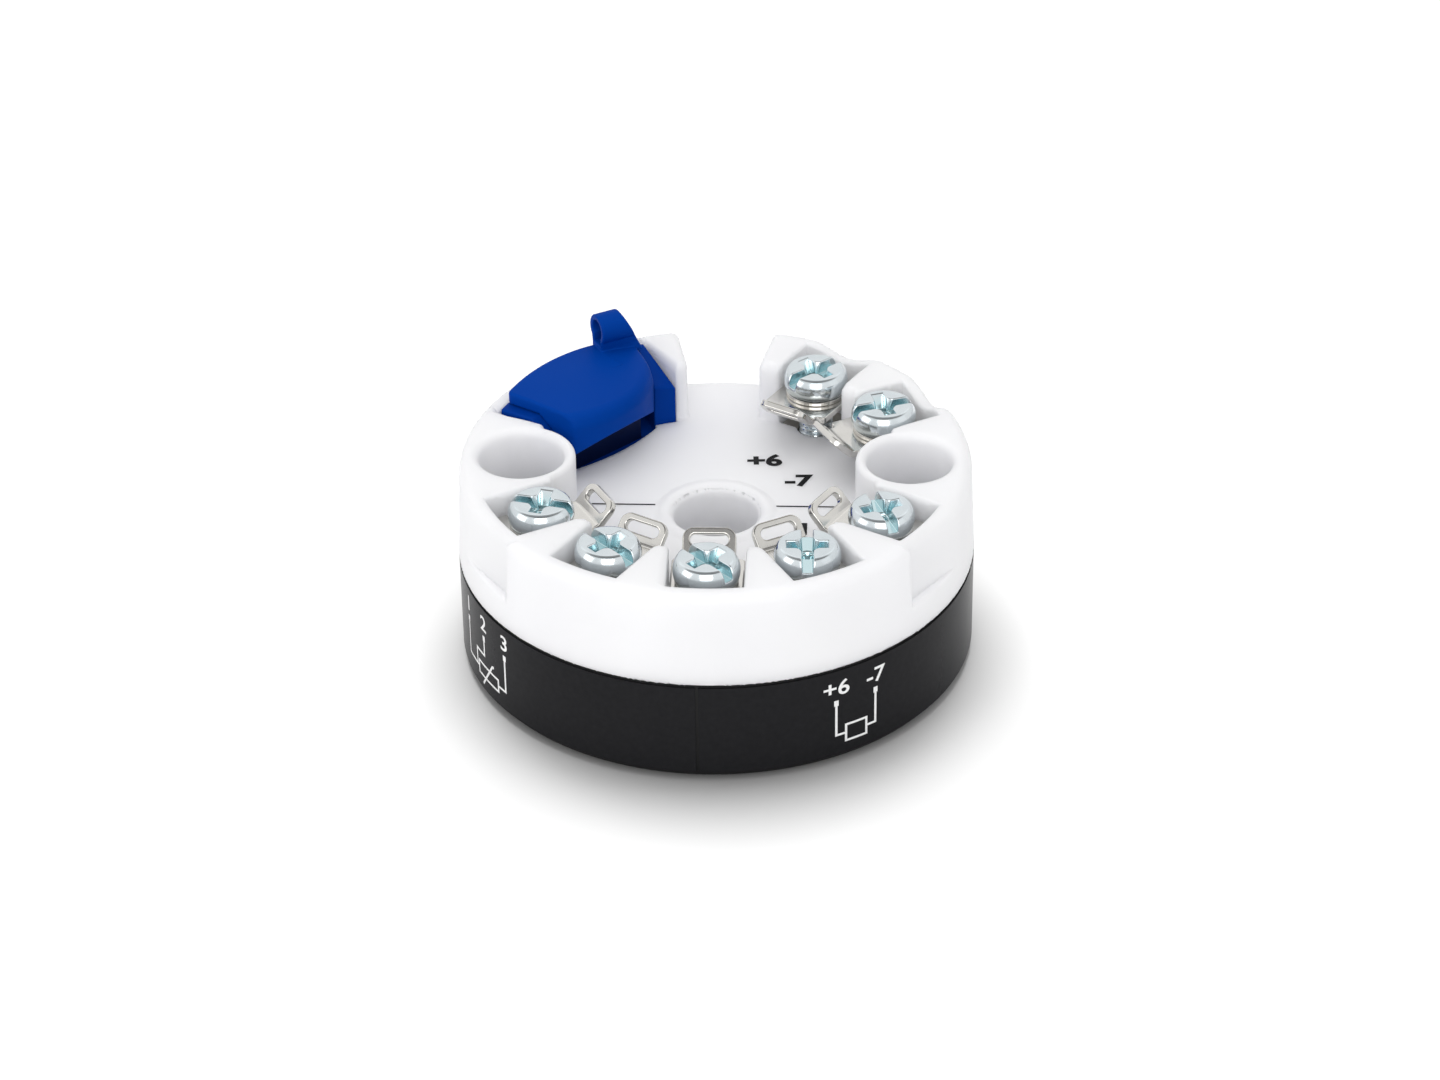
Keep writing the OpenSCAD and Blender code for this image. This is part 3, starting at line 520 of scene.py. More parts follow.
def port_sunk_plan(x, y):
    """Plan of everything that is sunk for the port, clear of the left boss."""
    s, t = turned(x, y, PORT_ANGLE)
    r = np.hypot(x, y)
    under_flanges = overlap(between_sides(s, t, POCKET_SIDES), PORT_INNER_R - r)
    bowed_front = np.hypot(s - (PORT_FRONT_S + PORT_BOW_R), t) - PORT_BOW_R
    between_flanges = overlap(between_sides(s, t, INSIDE_SIDES), bowed_front)
    sunk = overlap(union(under_flanges, between_flanges), r - BAY_R, -s)
    return overlap(sunk, BOSS_R - np.hypot(x + MOUNT_X, y))


# %% Blank of the housing
# The side flats run between these angles and end this deep. The scoops in the rim behind the two
# output terminals each have an angle, half a width in degrees and a depth.
FLAT_START = math.radians(-24)
FLAT_END = math.radians(-39.5)
FLAT_DEPTH = 0.45
SCOOPS = [(59.0, 10.0, 0.95), (31.0, 9.5, 1.2)]


def hill(offset, half):
    """A smooth hill that is 1 at no offset and 0 from this half width on."""
    return 0.5 + 0.5 * np.cos(math.pi * np.clip(np.abs(offset) / half, 0, 1))


def rim_height(x, y):
    """Height of the rim: level, but scooped out behind the two output terminals."""
    angle = np.degrees(np.arctan2(y, x))
    height = RIM_Z + 0 * angle
    for centre, half, depth in SCOOPS:
        height = height - depth * hill(angle - centre, half) * (np.hypot(x, y) > SCOOP_R)
    return height


def blank(x, y, z):
    """The turned ring with a rounded rim, and its side flats, which end in a small step."""
    wall = np.hypot(x, y) - (BODY_R - (BODY_R - RIM_R) * (z - BASE_H) / (RIM_Z - BASE_H))
    side = np.abs(x)
    start = RIM_R * np.array([math.cos(FLAT_START), math.sin(FLAT_START)])
    end = (RIM_R - FLAT_DEPTH) * np.array([math.cos(FLAT_END), math.sin(FLAT_END)])
    along = (end - start) / np.linalg.norm(end - start)
    flat = (side - start[0]) * -along[1] + (y - start[1]) * along[0]
    step = side * math.sin(FLAT_END) - y * math.cos(FLAT_END)
    wall = round_and(wall, -overlap(-flat, step, FLOOR_Z - z), 0.25)
    return round_and(wall, z - rim_height(x, y), RIM_EDGE)


# %% Housing
def housing(x, y, z):
    r = np.hypot(x, y)
    # Plans of the air above the terminal floor.
    boss = BOSS_R - np.hypot(np.abs(x) - MOUNT_X, y)
    recess = union(r - FRONT_RECESS_R, overlap(r - BACK_RECESS_R, -y))
    recess = round_and(recess, boss, 0.3)
    nothing = 1e3 + 0 * r
    bays, seats, block_spaces, screw_holes = nothing, nothing, nothing, nothing
    for degrees in TERMINAL_ANGLES:
        u, t = turned(x, y, degrees)
        bay = overlap(np.abs(t) - BAY_HALF, r - BAY_R, BAY_START - u)
        block_space = overlap(np.abs(t) - BLOCK_HALF_T, np.abs(u - BLOCK_MIDDLE) - BLOCK_HALF_U)
        bays = union(bays, bay)
        seats = union(seats, overlap(bay, SEAT_START - u))
        block_spaces = union(block_spaces, block_space)
        screw_holes = union(screw_holes, np.hypot(u - TERMINAL_R, t) - SCREW_HOLE_R)
    slot = overlap(np.abs(x) - (SLOT_HALF + (y - SLOT_HALF_AT) * SLOT_FLARE), SLOT_START - y)
    sunk = port_sunk_plan(x, y)
    plan = union(round_or(round_or(recess, bays, 0.25), slot, 0.5), sunk)
    # The recess has soft top edges, the bays crisp ones, and the slot something between.
    near_recess = np.clip(0.5 + (union(bays, slot) - recess) * EDGE_CHANGE, 0, 1)
    near_slot = np.clip(0.5 + (bays - slot) * EDGE_CHANGE, 0, 1)
    from_boss = np.clip(-(boss + 0.3) / 1.5, 0, 1)
    edge = BAY_EDGE + (SLOT_EDGE - BAY_EDGE) * near_slot
    edge = edge + (BOSS_EDGE + (RECESS_EDGE - BOSS_EDGE) * from_boss - edge) * near_recess
    body = round_and(blank(x, y, z), -round_and(plan, FLOOR_Z - z, 0.25), edge)
    # The low rim behind the port, its pocket, the bays' seats and the spaces that come from below.
    s, t = turned(x, y, PORT_ANGLE)
    low_rim = overlap(between_sides(s, t, POCKET_SIDES), LOW_RIM_R - r, LOW_RIM_Z - z, -s)
    body = overlap(body, -low_rim)
    pocket_edge = 0.08 + 0.4 * np.clip((z - 12.6) / 2, 0, 1)
    body = round_and(body, -overlap(sunk, PORT_FLOOR_Z - z), pocket_edge)
    socket_space = overlap(round_socket(s, t, SOCKET_HALF_S, SOCKET_HALF_T), z - SOCKET_SPACE_Z)
    body = overlap(body, -overlap(seats, SEAT_Z - z), -overlap(block_spaces, z - BLOCK_SPACE_Z),
                   -socket_space)
    # A low swollen lip round the centre hole, and the round holes.
    lip = overlap(z - (12.39 + 0.24 * hill(r - LIP_R, 0.95)), r - 5.4, 12.2 - z)
    body = round_and(union(body, lip), WELL_R - r, 0.6)
    body = round_and(body, MOUNT_R - np.hypot(np.abs(x) - MOUNT_X, y), 0.75)
    body = overlap(body, -screw_holes)
    # The spigot that sits in the cup, the underside, and the tube of the centre hole.
    body = overlap(body, union(r - SPIGOT_R, BASE_H - z), SLAB_Z - z)
    tube = overlap(r - TUBE_R, WELL_R - r, WELL_TUBE_Z - z, z - 10)
    return union(body, tube)


white_housing = cast("white_housing", housing, (-BODY_R, -BODY_R, WELL_TUBE_Z), (BODY_R, BODY_R, RIM_Z),
                     0.14, 0.02)
dress(white_housing, "module", "white_plastic", "upper_housing")

# %% [markdown]
# ## The blue liner of the service port
# The liner is a small tray pressed into its pocket: a floor with a hole for the socket, a low
# outer wall, and two flanges at its sides. The right flange rises outwards along most of its
# length, and the left one only at its inner end. The cover rests on them. The outline is the
# pocket's, drawn in by a small gap.


# %% Port liner
LINER_GAP = 0.05
LINER_WALL_R = 19.45
LINER_FLOOR_Z = 11.77
FLANGE_TOP_Z = 18.0
# Heights of the flanges at their inner ends, and how much they rise for each mm outwards.
LEFT_FLANGE = (17.9, 0.9)
RIGHT_FLANGE = (16.65, 0.42)


def flange_top(s, t):
    """Height of the flanges' tops, the left one where t is positive."""
    left, right = (low + (s - PORT_INNER_R) * rise for low, rise in (LEFT_FLANGE, RIGHT_FLANGE))
    return np.minimum(np.where(t > 0, left, right), FLANGE_TOP_Z)


def port_liner(x, y, z):
    s, t = turned(x, y, PORT_ANGLE)
    r = np.hypot(x, y)
    inside = between_sides(s, t, INSIDE_SIDES)
    tray = overlap(port_sunk_plan(x, y) + LINER_GAP, r - (BAY_R - LINER_GAP),
                   BOSS_R + LINER_GAP - np.hypot(x + MOUNT_X, y), PORT_FLOOR_Z - z)
    air = union(r - PORT_INNER_R, overlap(inside, r - LINER_WALL_R))
    tray = round_and(tray, -overlap(air, LINER_FLOOR_Z - z), 0.12)
    tray = round_and(tray, z - flange_top(s, t), 0.22)
    tray = round_and(tray, -overlap(inside, LOW_RIM_Z - z), 0.1)
    return overlap(tray, -round_socket(s, t, SOCKET_HALF_S, SOCKET_HALF_T))


blue_liner = cast("blue_liner", port_liner, (-BAY_R, 5.0, PORT_FLOOR_Z), (-3.0, BAY_R, FLANGE_TOP_Z), 0.12)
dress(blue_liner, "module", "blue_plastic", "port_liner")

# %% [markdown]
# ## The blue cover
# The cover closes the service port. Its lid is slightly domed and ends in a curved nose, which
# hangs down in front of the socket with an arched foot. A plug under it grips the socket, and a
# strap bent into a standing loop pulls it out. Rubber is moulded with generous radii, so the
# long front edge is rounded far more than the small ones.

# %% Sizes of the cover
# The loop: its direction, the distance of its middle, its crown, its eye and its half width.
LOOP_ANGLE = PORT_ANGLE - 15.5
LOOP_R = 19.38
LOOP_TOP_Z = 22.36
CROWN_R = 1.4
EYE_R = 0.88
EYE_HALF = 0.6
EYE_FLOOR_Z = 19.55
LOOP_HALF = 1.8
LOOP_FOOT_Z = 18.5
# The lid: its outline, its dome, and its nose, which is round about a point in s and t.
LID_SIDES = ((0.24, 2.73), (0.37, -0.01))
LID_R = 20.15
LID_TOP_Z = 19.42
LID_DOME = 0.0072
LID_WALL = 1.3
NOSE_S = 20.15
NOSE_T = 1.4
NOSE_R = 9.3
NOSE_BREAK_Z = 17.85
NOSE_TILT = math.radians(24)
FLANGE_CLEAR = 0.1
# The arch under the nose, the plug in the socket, and the space in it for the contacts.
ARCH_R = 10
ARCH_T = 0.8
ARCH_Z = 6.3
ARCH_FOOT_Z = 14.4
PLUG_Z = 11.35
CONTACT_SPACE_Z = 14.85
print("height of the loop above the lid:", round(LOOP_TOP_Z - LID_TOP_Z, 2), "mm")


# %% Port cover
def pull_loop(x, y, z):
    """The strap: a round crown on two legs that draw in, with an eye, and a slanted outer edge."""
    a, b = turned(x, y, LOOP_ANGLE)
    a = a - LOOP_R
    crown = LOOP_TOP_Z - CROWN_R
    legs = 1.12 - 0.14 * np.clip(20.4 - z, -1, 1)
    outside = union(np.hypot(a, z - crown) - CROWN_R, overlap(np.abs(a) - legs, z - crown))
    eye = overlap(np.abs(a) - EYE_HALF, z - crown, EYE_FLOOR_Z - z)
    eye = union(np.hypot(a, z - crown) - EYE_R, eye)
    slanted = (-(b + LOOP_HALF) * 3.0 + (z - 19.4) * 1.44) / math.hypot(3.0, 1.44)
    return round_and(overlap(outside, -eye, LOOP_FOOT_Z - z), overlap(b - LOOP_HALF, slanted), 0.16)


def lid_solid(x, y, z, inset):
    """Outside of the lid and its nose, drawn in by inset."""
    s, t = turned(x, y, PORT_ANGLE)
    side = round_and(between_sides(s, t, LID_SIDES), np.hypot(x, y) - LID_R, 0.5)
    from_nose = np.hypot(s - NOSE_S, t - NOSE_T)
    dome = z - (LID_TOP_Z - LID_DOME * from_nose ** 2)
    # The nose breaks twice: a sloping band under the soft upper edge, then the upright face.
    band = (from_nose - NOSE_R) * math.cos(NOSE_TILT) + (z - NOSE_BREAK_Z) * math.sin(NOSE_TILT)
    nose = round_and(from_nose - NOSE_R, band, 0.12)
    crown = round_and(dome + inset, nose + inset, 0.5)
    return round_and(crown, side + inset, 0.28)


def port_cover(x, y, z):
    s, t = turned(x, y, PORT_ANGLE)
    over_flanges = union(flange_top(s, t) + FLANGE_CLEAR - z, np.hypot(x, y) - 15.05)
    cover = overlap(lid_solid(x, y, z, 0), -lid_solid(x, y, z, LID_WALL), over_flanges)
    arch = ARCH_R - np.hypot(t - ARCH_T, z - ARCH_Z)
    cover = round_and(cover, overlap(arch, ARCH_FOOT_Z - z), 0.15)
    plug = overlap(round_socket(s, t, 1.15, 3.15), PLUG_Z - z, z - 19.2)
    plug = round_and(plug, PLUG_Z - z, 0.25)
    contact_space = overlap(round_socket(s, t, 0.55, 2.54), z - CONTACT_SPACE_Z)
    cover = union(cover, overlap(plug, -contact_space))
    return round_or(cover, pull_loop(x, y, z), 0.12)


blue_cover = cast("blue_cover", port_cover, (-20.2, 4.0, 11.3), (-4.0, 20.4, 22.4), 0.11)
dress(blue_cover, "cover", "blue_rubber", "port_cover")

# %% [markdown]
# ## The clamp plates
# Each terminal has a plate stamped from spring brass and nickel plated. Under the screw it is
# flat and square. Towards the centre it narrows and bends up into a test tab with a slotted eye.
# A bent strip is easiest to draw unrolled, so a point is first measured along the strip, across
# it and through it. The field is sampled once, and its mesh is turned to each terminal.

# %% Clamp plates
# Lengths along the unrolled strip start at the bend and are positive outwards.
PLATE_MID_Z = 15.7
PLATE_HALF_T = 0.3
PLATE_HALF = 3.05
PLATE_END_U = 19.6
PLATE_START = 0.35
BEND_U = 12.45
BEND_RADIUS = 0.8
TAB_ANGLE = math.radians(46)
TAB_HALF = 2.25
TAB_END = -2.75
TAB_CORNER = 0.95
EYE_ALONG = -1.7
EYE_HALF_LENGTH = 1.6
EYE_HALF_WIDTH = 0.475
CLAMP_HOLE_R = 1.58


def clamp_plate(u, t, z):
    past_bend = BEND_U - u
    centre_z = PLATE_MID_Z + BEND_RADIUS
    angle = np.arctan2(np.maximum(past_bend, 0), np.maximum(centre_z - z, 1e-4))
    angle = np.where(centre_z - z <= 0, math.pi / 2, angle)
    # Height above the strip's middle and length along it, on the bend and on the tab beyond it.
    arc_off = BEND_RADIUS - np.hypot(past_bend, centre_z - z)
    arc_along = -BEND_RADIUS * angle
    du = BEND_U - BEND_RADIUS * math.sin(TAB_ANGLE) - u
    dz = z - (centre_z - BEND_RADIUS * math.cos(TAB_ANGLE))
    tab_off = -du * math.sin(TAB_ANGLE) + dz * math.cos(TAB_ANGLE)
    tab_along = -BEND_RADIUS * TAB_ANGLE - (du * math.cos(TAB_ANGLE) + dz * math.sin(TAB_ANGLE))
    off = np.where(past_bend <= 0, z - PLATE_MID_Z, np.where(angle < TAB_ANGLE, arc_off, tab_off))
    along = np.where(past_bend <= 0, -past_bend, np.where(angle < TAB_ANGLE, arc_along, tab_along))
    across = np.abs(t)
    # Unrolled outline: a square plate, and a narrower tab with round corners.
    plate = round_and(across - PLATE_HALF, along - (PLATE_END_U - BEND_U), 0.4)
    plate = round_and(plate, PLATE_START - along, 0.35)
    tab = round_and(overlap(across - TAB_HALF, along - 1.5), TAB_END - along, TAB_CORNER)
    outline = round_or(plate, tab, 0.3)
    beyond = np.maximum(across - (EYE_HALF_LENGTH - EYE_HALF_WIDTH), 0)
    eye = np.hypot(beyond, along - EYE_ALONG) - EYE_HALF_WIDTH
    hole = np.hypot(u - TERMINAL_R, t) - CLAMP_HOLE_R
    return round_and(overlap(outline, -eye, -hole), np.abs(off) - PLATE_HALF_T, 0.13)


stamping = cast("stamping", clamp_plate, (9.6, -3.1, 15.3), (19.7, 3.1, 18.2), 0.08)
for number, degrees in enumerate(TERMINAL_ANGLES, 1):
    plate = new_object(f"nickel_plate_{number}", stamping.data.copy())
    plate.data.transform(Matrix.Rotation(math.radians(degrees), 4, "Z"))
    dress(plate, f"clamp_{number}", "nickel_plate", f"clamp_plate_{number}")
bpy.data.objects.remove(stamping)

# %% [markdown]
# ## Captive washers
# A plain nickel-plated washer sits under each screw head. It follows a simple rule, a small
# rectangle with broken corners swept round a circle, so Geometry Nodes make it from named sizes.


# %% Geometry Nodes helpers
def new_tree(name, sizes):
    """An empty Geometry Nodes tree with a geometry output and one input for each named size."""
    tree = bpy.data.node_groups.new(name, "GeometryNodeTree")
    tree.interface.new_socket("Geometry", in_out="OUTPUT", socket_type="NodeSocketGeometry")
    for label, value in sizes.items():
        socket = tree.interface.new_socket(label, in_out="INPUT", socket_type="NodeSocketFloat")
        socket.default_value = value
    return tree, add(tree, "NodeGroupInput"), add(tree, "NodeGroupOutput")


def finish_tree(tree, geometry, slot, result):
    """Real faces in one finish, linked to the tree's output."""
    whole = add(tree, "GeometryNodeRealizeInstances", {0: geometry})
    dyed = add(tree, "GeometryNodeSetMaterial", {"Geometry": whole.outputs[0], "Material": finishes[slot]})
    tree.links.new(dyed.outputs[0], result.inputs[0])


def grow(name, tree, values, place):
    """Runs a tree on an empty mesh with these input values, and returns the plain mesh object."""
    carrier = new_object(name + "_carrier", bpy.data.meshes.new(name + "_carrier"))
    modifier = carrier.modifiers.new("grow", "NODES")
    modifier.node_group = tree
    for item in tree.interface.items_tree:
        if item.in_out == "INPUT" and item.name in values:
            modifier[item.identifier] = values[item.name]
    mesh = plain_mesh(carrier)
    mesh.transform(place)
    return new_object(name, mesh)


def at_terminal(degrees, z, turn=0):
    """The place of a terminal's screw axis, in metres, with a turn about it."""
    spot = Matrix.Rotation(math.radians(degrees), 4, "Z") @ Matrix.Translation((TERMINAL_R * MM, 0, z * MM))
    return spot @ Matrix.Rotation(math.radians(turn - degrees), 4, "Z")


# %% Washers
WASHER_Z = 16.2
washer_sizes = {"Inner Radius": CLAMP_HOLE_R * MM, "Outer Radius": 2.65 * MM, "Thickness": 0.4 * MM,
                "Corner": 0.08 * MM}
washer_tree, sizes, result = new_tree("captive_washer", washer_sizes)
radii = {0: sizes.outputs["Outer Radius"], 1: sizes.outputs["Inner Radius"]}
width = add(washer_tree, "ShaderNodeMath", radii, operation="SUBTRACT")
both = add(washer_tree, "ShaderNodeMath", radii, operation="ADD")
middle = add(washer_tree, "ShaderNodeMath", {0: both.outputs[0], 1: 0.5}, operation="MULTIPLY")
path = add(washer_tree, "GeometryNodeCurvePrimitiveCircle", {"Resolution": 64, "Radius": middle.outputs[0]})
section = add(washer_tree, "GeometryNodeCurvePrimitiveQuadrilateral", {
    "Width": width.outputs[0], "Height": sizes.outputs["Thickness"]})
section = add(washer_tree, "GeometryNodeFilletCurve", {
    "Curve": section.outputs[0], "Radius": sizes.outputs["Corner"], "Count": 3}, mode="POLY")
ring = add(washer_tree, "GeometryNodeCurveToMesh", {
    "Curve": path.outputs[0], "Profile Curve": section.outputs[0]})
flat = add(washer_tree, "GeometryNodeSetShadeSmooth", {"Geometry": ring.outputs[0], "Shade Smooth": False})
finish_tree(washer_tree, flat.outputs[0], "nickel_plate", result)

for number, degrees in enumerate(TERMINAL_ANGLES, 1):
    washer = grow(f"zinc_washer_{number}", washer_tree, washer_sizes, at_terminal(degrees, WASHER_Z))
    dress(washer, f"clamp_{number}", "nickel_plate", f"clamp_washer_{number}")
print("washer faces:", len(washer.data.polygons))

# %% [markdown]
# ## The heads of the terminal screws
# A terminal screw is a pan head with two crossed slots: one runs right across, the other stops
# short of the edge, so a flat blade and a cross-head bit both fit. The head is a field, because
# its flat top, its slots and its bulging side meet in soft plated edges.

# %% Screw heads
# Heights above the head's underside: its top, and where its side is widest.
HEAD_H = 2.0
BELLY_Z = 0.9
# The side is part of one ellipse above the belly and of another below it. Each has a core
# radius, how far it reaches out from the core, and a height.
ABOVE_BELLY = (1.70, 1.10, 1.34)
BELOW_BELLY = (2.50, 0.30, 0.95)


def screw_side(r, z):
    """Turned side of a head: it bulges, draws in to a narrower foot, and meets the top in an edge."""
    core, reach, span = (np.where(z > BELLY_Z, up, low) for up, low in zip(ABOVE_BELLY, BELOW_BELLY))
    return (np.hypot(np.maximum(r - core, 0) / reach, (z - BELLY_Z) / span) - 1) * reach


def screw_head(x, y, z):
    r = np.hypot(x, y)
    head = round_and(round_and(screw_side(r, z), z - HEAD_H, 0.10), -z, 0.06)
    # Both slots narrow towards their floors, and the short one has sloping ends.
    depth = np.clip((HEAD_H - z) / 1.2, 0, 1)
    long_slot = overlap(np.abs(y) - (0.50 - 0.10 * depth), 0.92 - z)
    short_slot = overlap(np.abs(x) - (0.52 - 0.14 * depth), np.abs(y) - (1.78 - 0.62 * depth), 0.80 - z)
    cross = round_or(long_slot, short_slot, 0.22)
    # A cone in the middle guides the bit.
    cone = overlap(r - (0.98 - 0.72 * np.clip((1.9 - z) / 1.7, 0, 1)), 0.15 - z)
    return round_and(head, -round_or(cross, cone, 0.18), 0.11)


pan_head = cast("pan_head", screw_head, (-2.8, -2.8, 0), (2.8, 2.8, HEAD_H), 0.07)

# %% Where the passivation pools
# The tint starts just under the top, is full this much deeper, and keeps off the side.
TINT_TOP_Z = 1.95
TINT_DEPTH = 0.7
OFF_SIDE = 0.12

x, y, z = np.array([v.co for v in pan_head.data.vertices]).T / MM
sunk = np.clip((TINT_TOP_Z - z) / TINT_DEPTH, 0, 1) * (z > 0.1)
pooled = sunk * (screw_side(np.hypot(x, y), z) < -OFF_SIDE)
layer = pan_head.data.attributes.new("recess", "FLOAT", "POINT")
layer.data.foreach_set("value", pooled.astype(np.float32))
print("recess vertices:", int((pooled > 0.2).sum()))

# %% [markdown]
# ## Their threads
# A thread is a ridge that climbs one pitch in each turn, so Geometry Nodes can draw it. A flat
# sheet is wrapped round the shank: its x becomes the angle and its y the height. How far a point
# is from the ridge gives its radius. A list of small sums says so, and later ones use earlier
# ones by name.

# %% Threads
SCREW_Z = 16.45
# How far each screw happens to be turned, terminal 1 to 7, in degrees.
SCREW_TURNS = [-13, -46, -45, -88, -68, 41, 20]
screw_sizes = {"Radius": 1.5 * MM, "Thread Depth": 0.28 * MM, "Pitch": 0.5 * MM, "Length": 8.0 * MM}
screw_tree, sizes, result = new_tree("terminal_screw", screw_sizes)
sheet = add(screw_tree, "GeometryNodeMeshGrid", {
    "Size X": 1.0, "Size Y": 1.0, "Vertices X": 41, "Vertices Y": 129})
spot = add(screw_tree, "ShaderNodeSeparateXYZ", {0: add(screw_tree, "GeometryNodeInputPosition").outputs[0]})
made = {name: sizes.outputs[name] for name in screw_sizes}
made |= {"x": spot.outputs["X"], "y": spot.outputs["Y"]}
# A row without an operation is a ramp from 0 to 1 between two values.
SUMS = [
    ("around", {0: "x", 1: 0.5}, "ADD"),
    ("angle", {0: "around", 1: 2 * math.pi}, "MULTIPLY"),
    ("up", {0: "y", 1: 0.5}, "ADD"),
    ("height", {0: "up", 1: "Length"}, "MULTIPLY"),
    ("turns", {0: "height", 1: "Pitch"}, "DIVIDE"),
    ("phase", {0: "turns", 1: "around"}, "SUBTRACT"),
    ("from ridge", {0: "phase", 1: 0.5}, "PINGPONG"),
    ("groove", {"Value": "from ridge", "From Min": 0.06, "From Max": 0.44}, None),
    ("neck", {"Value": "up", "From Min": 0.86, "From Max": 0.93}, None),
    ("tip", {"Value": "up", "From Min": 0.0, "From Max": 0.04}, None),
    ("cut", {0: "groove", 1: "neck"}, "MAXIMUM"),
    ("depth", {0: "cut", 1: "Thread Depth"}, "MULTIPLY"),
    ("outer radius", {0: "Radius", 1: "depth"}, "SUBTRACT"),
    ("radius", {0: "outer radius", 1: "tip"}, "MULTIPLY"),
    ("cosine", {0: "angle"}, "COSINE"),
    ("sine", {0: "angle"}, "SINE"),
    ("east", {0: "cosine", 1: "radius"}, "MULTIPLY"),
    ("north", {0: "sine", 1: "radius"}, "MULTIPLY"),
    ("down", {0: "height", 1: "Length"}, "SUBTRACT"),
]
for name, inputs, operation in SUMS:
    inputs = {key: made.get(value, value) for key, value in inputs.items()}
    kind, settings = "ShaderNodeMapRange", {}
    if operation:
        kind, settings = "ShaderNodeMath", {"operation": operation}
    made[name] = add(screw_tree, kind, inputs, **settings).outputs[0]
wrapped = add(screw_tree, "ShaderNodeCombineXYZ", {0: made["east"], 1: made["north"], 2: made["down"]})
shank = add(screw_tree, "GeometryNodeSetPosition", {
    "Geometry": sheet.outputs[0], "Position": wrapped.outputs[0]})
shank = add(screw_tree, "GeometryNodeMergeByDistance", {
    "Geometry": shank.outputs[0], "Distance": 0.002 * MM})
head = add(screw_tree, "GeometryNodeObjectInfo", {"Object": pan_head}, transform_space="ORIGINAL")
joined = add(screw_tree, "GeometryNodeJoinGeometry")
for part in (shank.outputs[0], head.outputs["Geometry"]):
    screw_tree.links.new(part, joined.inputs[0])
finish_tree(screw_tree, joined.outputs[0], "zinc_steel", result)

for number, (degrees, turn) in enumerate(zip(TERMINAL_ANGLES, SCREW_TURNS), 1):
    screw = grow(f"zinc_screw_{number}", screw_tree, screw_sizes, at_terminal(degrees, SCREW_Z, turn))
    dress(screw, f"screw_{number}", "zinc_steel", f"terminal_screw_{number}")
print("screw faces:", len(screw.data.polygons))
bpy.data.objects.remove(pan_head)

# %% [markdown]
# ## Prints
# The housing carries a black pad print: the three plain terminal numbers that the picture shows,
# and a line between the sensor side and the output side. The label carries a white wiring sketch.
# Both are thinner than a hair, so they are flat sheets just above the surface. They are drawn
# flat, and the label's are then rolled round the cup, where a length becomes an angle.

# %% Ink
PRINT_LIFT = 0.012


def ink_film(name, base, shade, roughness):
    """Screen or pad ink: opaque, slightly uneven and without relief."""
    return coated(name, (base, shade), (0.25, 2.0), (roughness, roughness), (0.25, 2.0), (0, 0),
                  {"Specular IOR Level": 0.2})


# Black pad-printing ink dries matt.
black_ink = ink_film("black_pad_print_ink", "#18181A", "#1C1C1E", 0.6)
# White screen ink on the label film.
white_ink = ink_film("white_screen_print_ink", "#E5E5E5", "#FAFAFA", 0.5)
print("inks:", black_ink.name, "and", white_ink.name)

# %% Numbers and lines as flat sheets
# The font's size for digits 1 mm high, and how much the digits are widened.
FONT_SIZE = 1.37
FONT_WIDEN = 1.15


def number_sheet(text, height, weight):
    """Points and faces of a number in the built-in font, centred, with digits of that height in mm."""
    curve = bpy.data.curves.new("number", "FONT")
    curve.body = text
    curve.align_x = curve.align_y = "CENTER"
    curve.size = height * FONT_SIZE
    curve.offset = weight
    curve.resolution_u = 6
    mesh = plain_mesh(new_object("number", curve))
    points = np.array([v.co[:2] for v in mesh.vertices]) * (FONT_WIDEN, 1)
    faces = [tuple(f.vertices) for f in mesh.polygons if f.area > 1e-9]
    bpy.data.meshes.remove(mesh)
    return points, faces


def ribbon(corners, width, step=0.4):
    """Points and faces of a line of one width through these corners, with mitred bends."""
    way = [np.array(corners[0], float)]
    for a, b in zip(corners, corners[1:]):
        count = max(1, round(math.dist(a, b) / step))
        way += list(np.linspace(a, b, count + 1)[1:])
    way = np.array(way)
    ahead = np.diff(way, axis=0)
    ahead /= np.linalg.norm(ahead, axis=1, keepdims=True)
    before, after = np.vstack([ahead[:1], ahead]), np.vstack([ahead, ahead[-1:]])
    mean = before + after
    mean /= np.linalg.norm(mean, axis=1, keepdims=True)
    stretch = width / 2 / np.maximum((mean * after).sum(axis=1), 0.3)
    side = np.stack([-mean[:, 1], mean[:, 0]], axis=1) * stretch[:, None]
    n = len(way)
    return np.vstack([way + side, way - side]), [(k, k + n, k + n + 1, k + 1) for k in range(n - 1)]


def shifted(sheet, x, y, degrees=0):
    """A sheet turned and moved in its own plane."""
    c, s = math.cos(math.radians(degrees)), math.sin(math.radians(degrees))
    points, faces = sheet
    return points @ np.array([[c, s], [-s, c]]) + np.array([x, y]), faces


def lay_print(name, sheets, ink, place, outward):
    """A print object of flat sheets. place puts points of a sheet in space, in mm, and
    outward(point) is the way that a face there has to look."""
    starts = np.cumsum([0] + [len(points) for points, _ in sheets]).tolist()
    faces = [tuple(i + start for i in face) for start, sheet in zip(starts, sheets) for face in sheet[1]]
    mesh = bpy.data.meshes.new(name)
    mesh.from_pydata((place(np.vstack([points for points, _ in sheets])) * MM).tolist(), [], faces)
    for polygon in mesh.polygons:
        if polygon.normal.dot(Vector(outward(polygon.center))) < 0:
            polygon.flip()
    mesh.materials.append(ink)
    obj = new_object(name, mesh)
    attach(obj, "module")
    print(name, len(mesh.polygons), "faces")


# %% Pad print on the housing
# Each number has its place in x and y and a tilt in degrees. The line runs across in two pieces.
RECESS_NUMBERS = [("+6", 3.85, 8.3, 4), ("-7", 6.9, 5.1, 2), ("1", 7.6, -2.65, 0)]
NUMBER_HEIGHT = 1.8
LINE_Y = 1.0
LINE_START = 5.0
LINE_END = 11.6


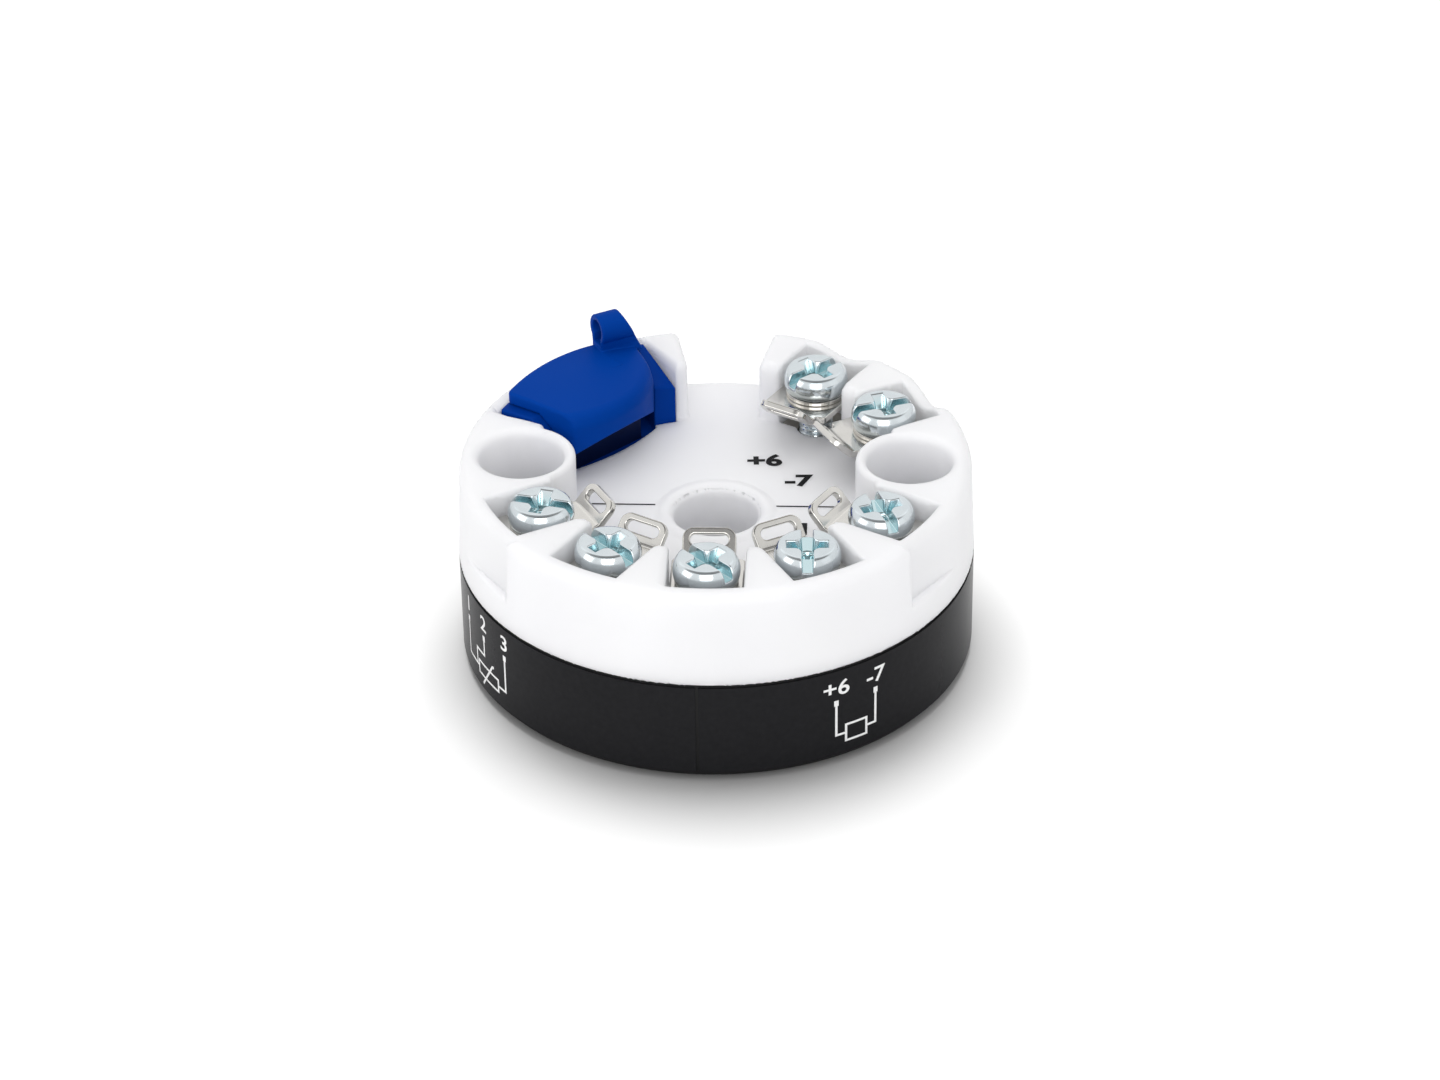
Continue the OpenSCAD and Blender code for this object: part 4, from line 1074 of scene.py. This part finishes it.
def on_floor(flat):
    """Points of the flat print on the floor of the recess."""
    return np.column_stack([flat, np.full(len(flat), FLOOR_Z + PRINT_LIFT)])


sheets = [shifted(number_sheet(text, NUMBER_HEIGHT, 0.10), x, y, tilt)
          for text, x, y, tilt in RECESS_NUMBERS]
sheets += [ribbon([(side * LINE_START, LINE_Y), (side * LINE_END, LINE_Y)], 0.2) for side in (-1, 1)]
lay_print("pad_print", sheets, black_ink, on_floor, lambda p: (0, 0, 1))

# %% [markdown]
# ## The label's wiring sketch
# A sketch beside the terminals shows how a sensor with three wires is connected: three leads
# come down from their numbers to a resistor. A second one shows the output pair. They are
# drawn on the unrolled label, where X is the angle round the cup and Y the height.


# %% Pieces of the sketch
def label_line(*corners, width=0.22):
    """A line through corners given by angle in degrees and height."""
    return ribbon([(math.radians(degrees) * BODY_R, z) for degrees, z in corners], width)


def lead_ends(leads, z):
    """The leads' numbers at this height, with a short thick mark under each."""
    numbers = [shifted(number_sheet(text, 1.5, 0.03), math.radians(degrees) * BODY_R, z)
               for text, degrees in leads]
    return numbers + [label_line((lead, z - 1.15), (lead, z - 1.7), width=0.42) for _, lead in leads]


def resistor(left, right, low, high):
    """A box, whose line runs on a little past its first corner to close it."""
    return label_line((left, low), (right, low), (right, high), (left, high), (left, low - 0.1))


def rolled(flat):
    """Points of the unrolled label in their places round the cup."""
    angle, r = flat[:, 0] / BODY_R, BODY_R + PRINT_LIFT
    return np.column_stack([r * np.cos(angle), r * np.sin(angle), flat[:, 1]])


# %% Label print
SENSOR_LEADS = [("1", -159.6), ("2", -150.4), ("3", -141.2)]
OUTPUT_LEADS = [("+6", -61.0), ("-7", -51.0)]
# Heights of the numbers and of the leads' lower ends.
SENSOR_Z = 7.75
OUTPUT_Z = 7.55
LEAD_END_Z = 2.9

(_, first), (_, second), (_, third) = SENSOR_LEADS
sensor_box = (-153.6, -144.2)
sheets = lead_ends(SENSOR_LEADS, SENSOR_Z) + [
    label_line((first, 6.1), (first, LEAD_END_Z), (sensor_box[0], LEAD_END_Z)),
    label_line((second, 6.1), (second, 4.6), (-154.6, 4.6), (-154.6, LEAD_END_Z)),
    label_line((third, 6.1), (third, LEAD_END_Z), (sensor_box[1], LEAD_END_Z)),
    resistor(*sensor_box, 2.3, 3.5),
    label_line((-151.6, 1.5), (-146.6, 4.3), (-145.9, 4.3)),
]
output_box = (-58.6, -53.4)
sheets += lead_ends(OUTPUT_LEADS, OUTPUT_Z)
sheets += [label_line((lead, 5.9), (lead, LEAD_END_Z), (edge, LEAD_END_Z))
           for (_, lead), edge in zip(OUTPUT_LEADS, output_box)]
sheets.append(resistor(*output_box, 2.1, 3.7))
lay_print("label_print", sheets, white_ink, rolled, lambda p: (p.x, p.y, 0))

# %% [markdown]
# ## Finishes of the frame's parts
# The cup, the label, the board and the contacts are plain or hidden, so they keep the exact shape
# of the frame and only need finishes.

# %% The finish of each part
for part in frame["record"]["subparts"]:
    node = frame["nodes"][part["node"]]
    node.data.materials.clear()
    node.data.materials.append(finishes[part["material_slot"]])
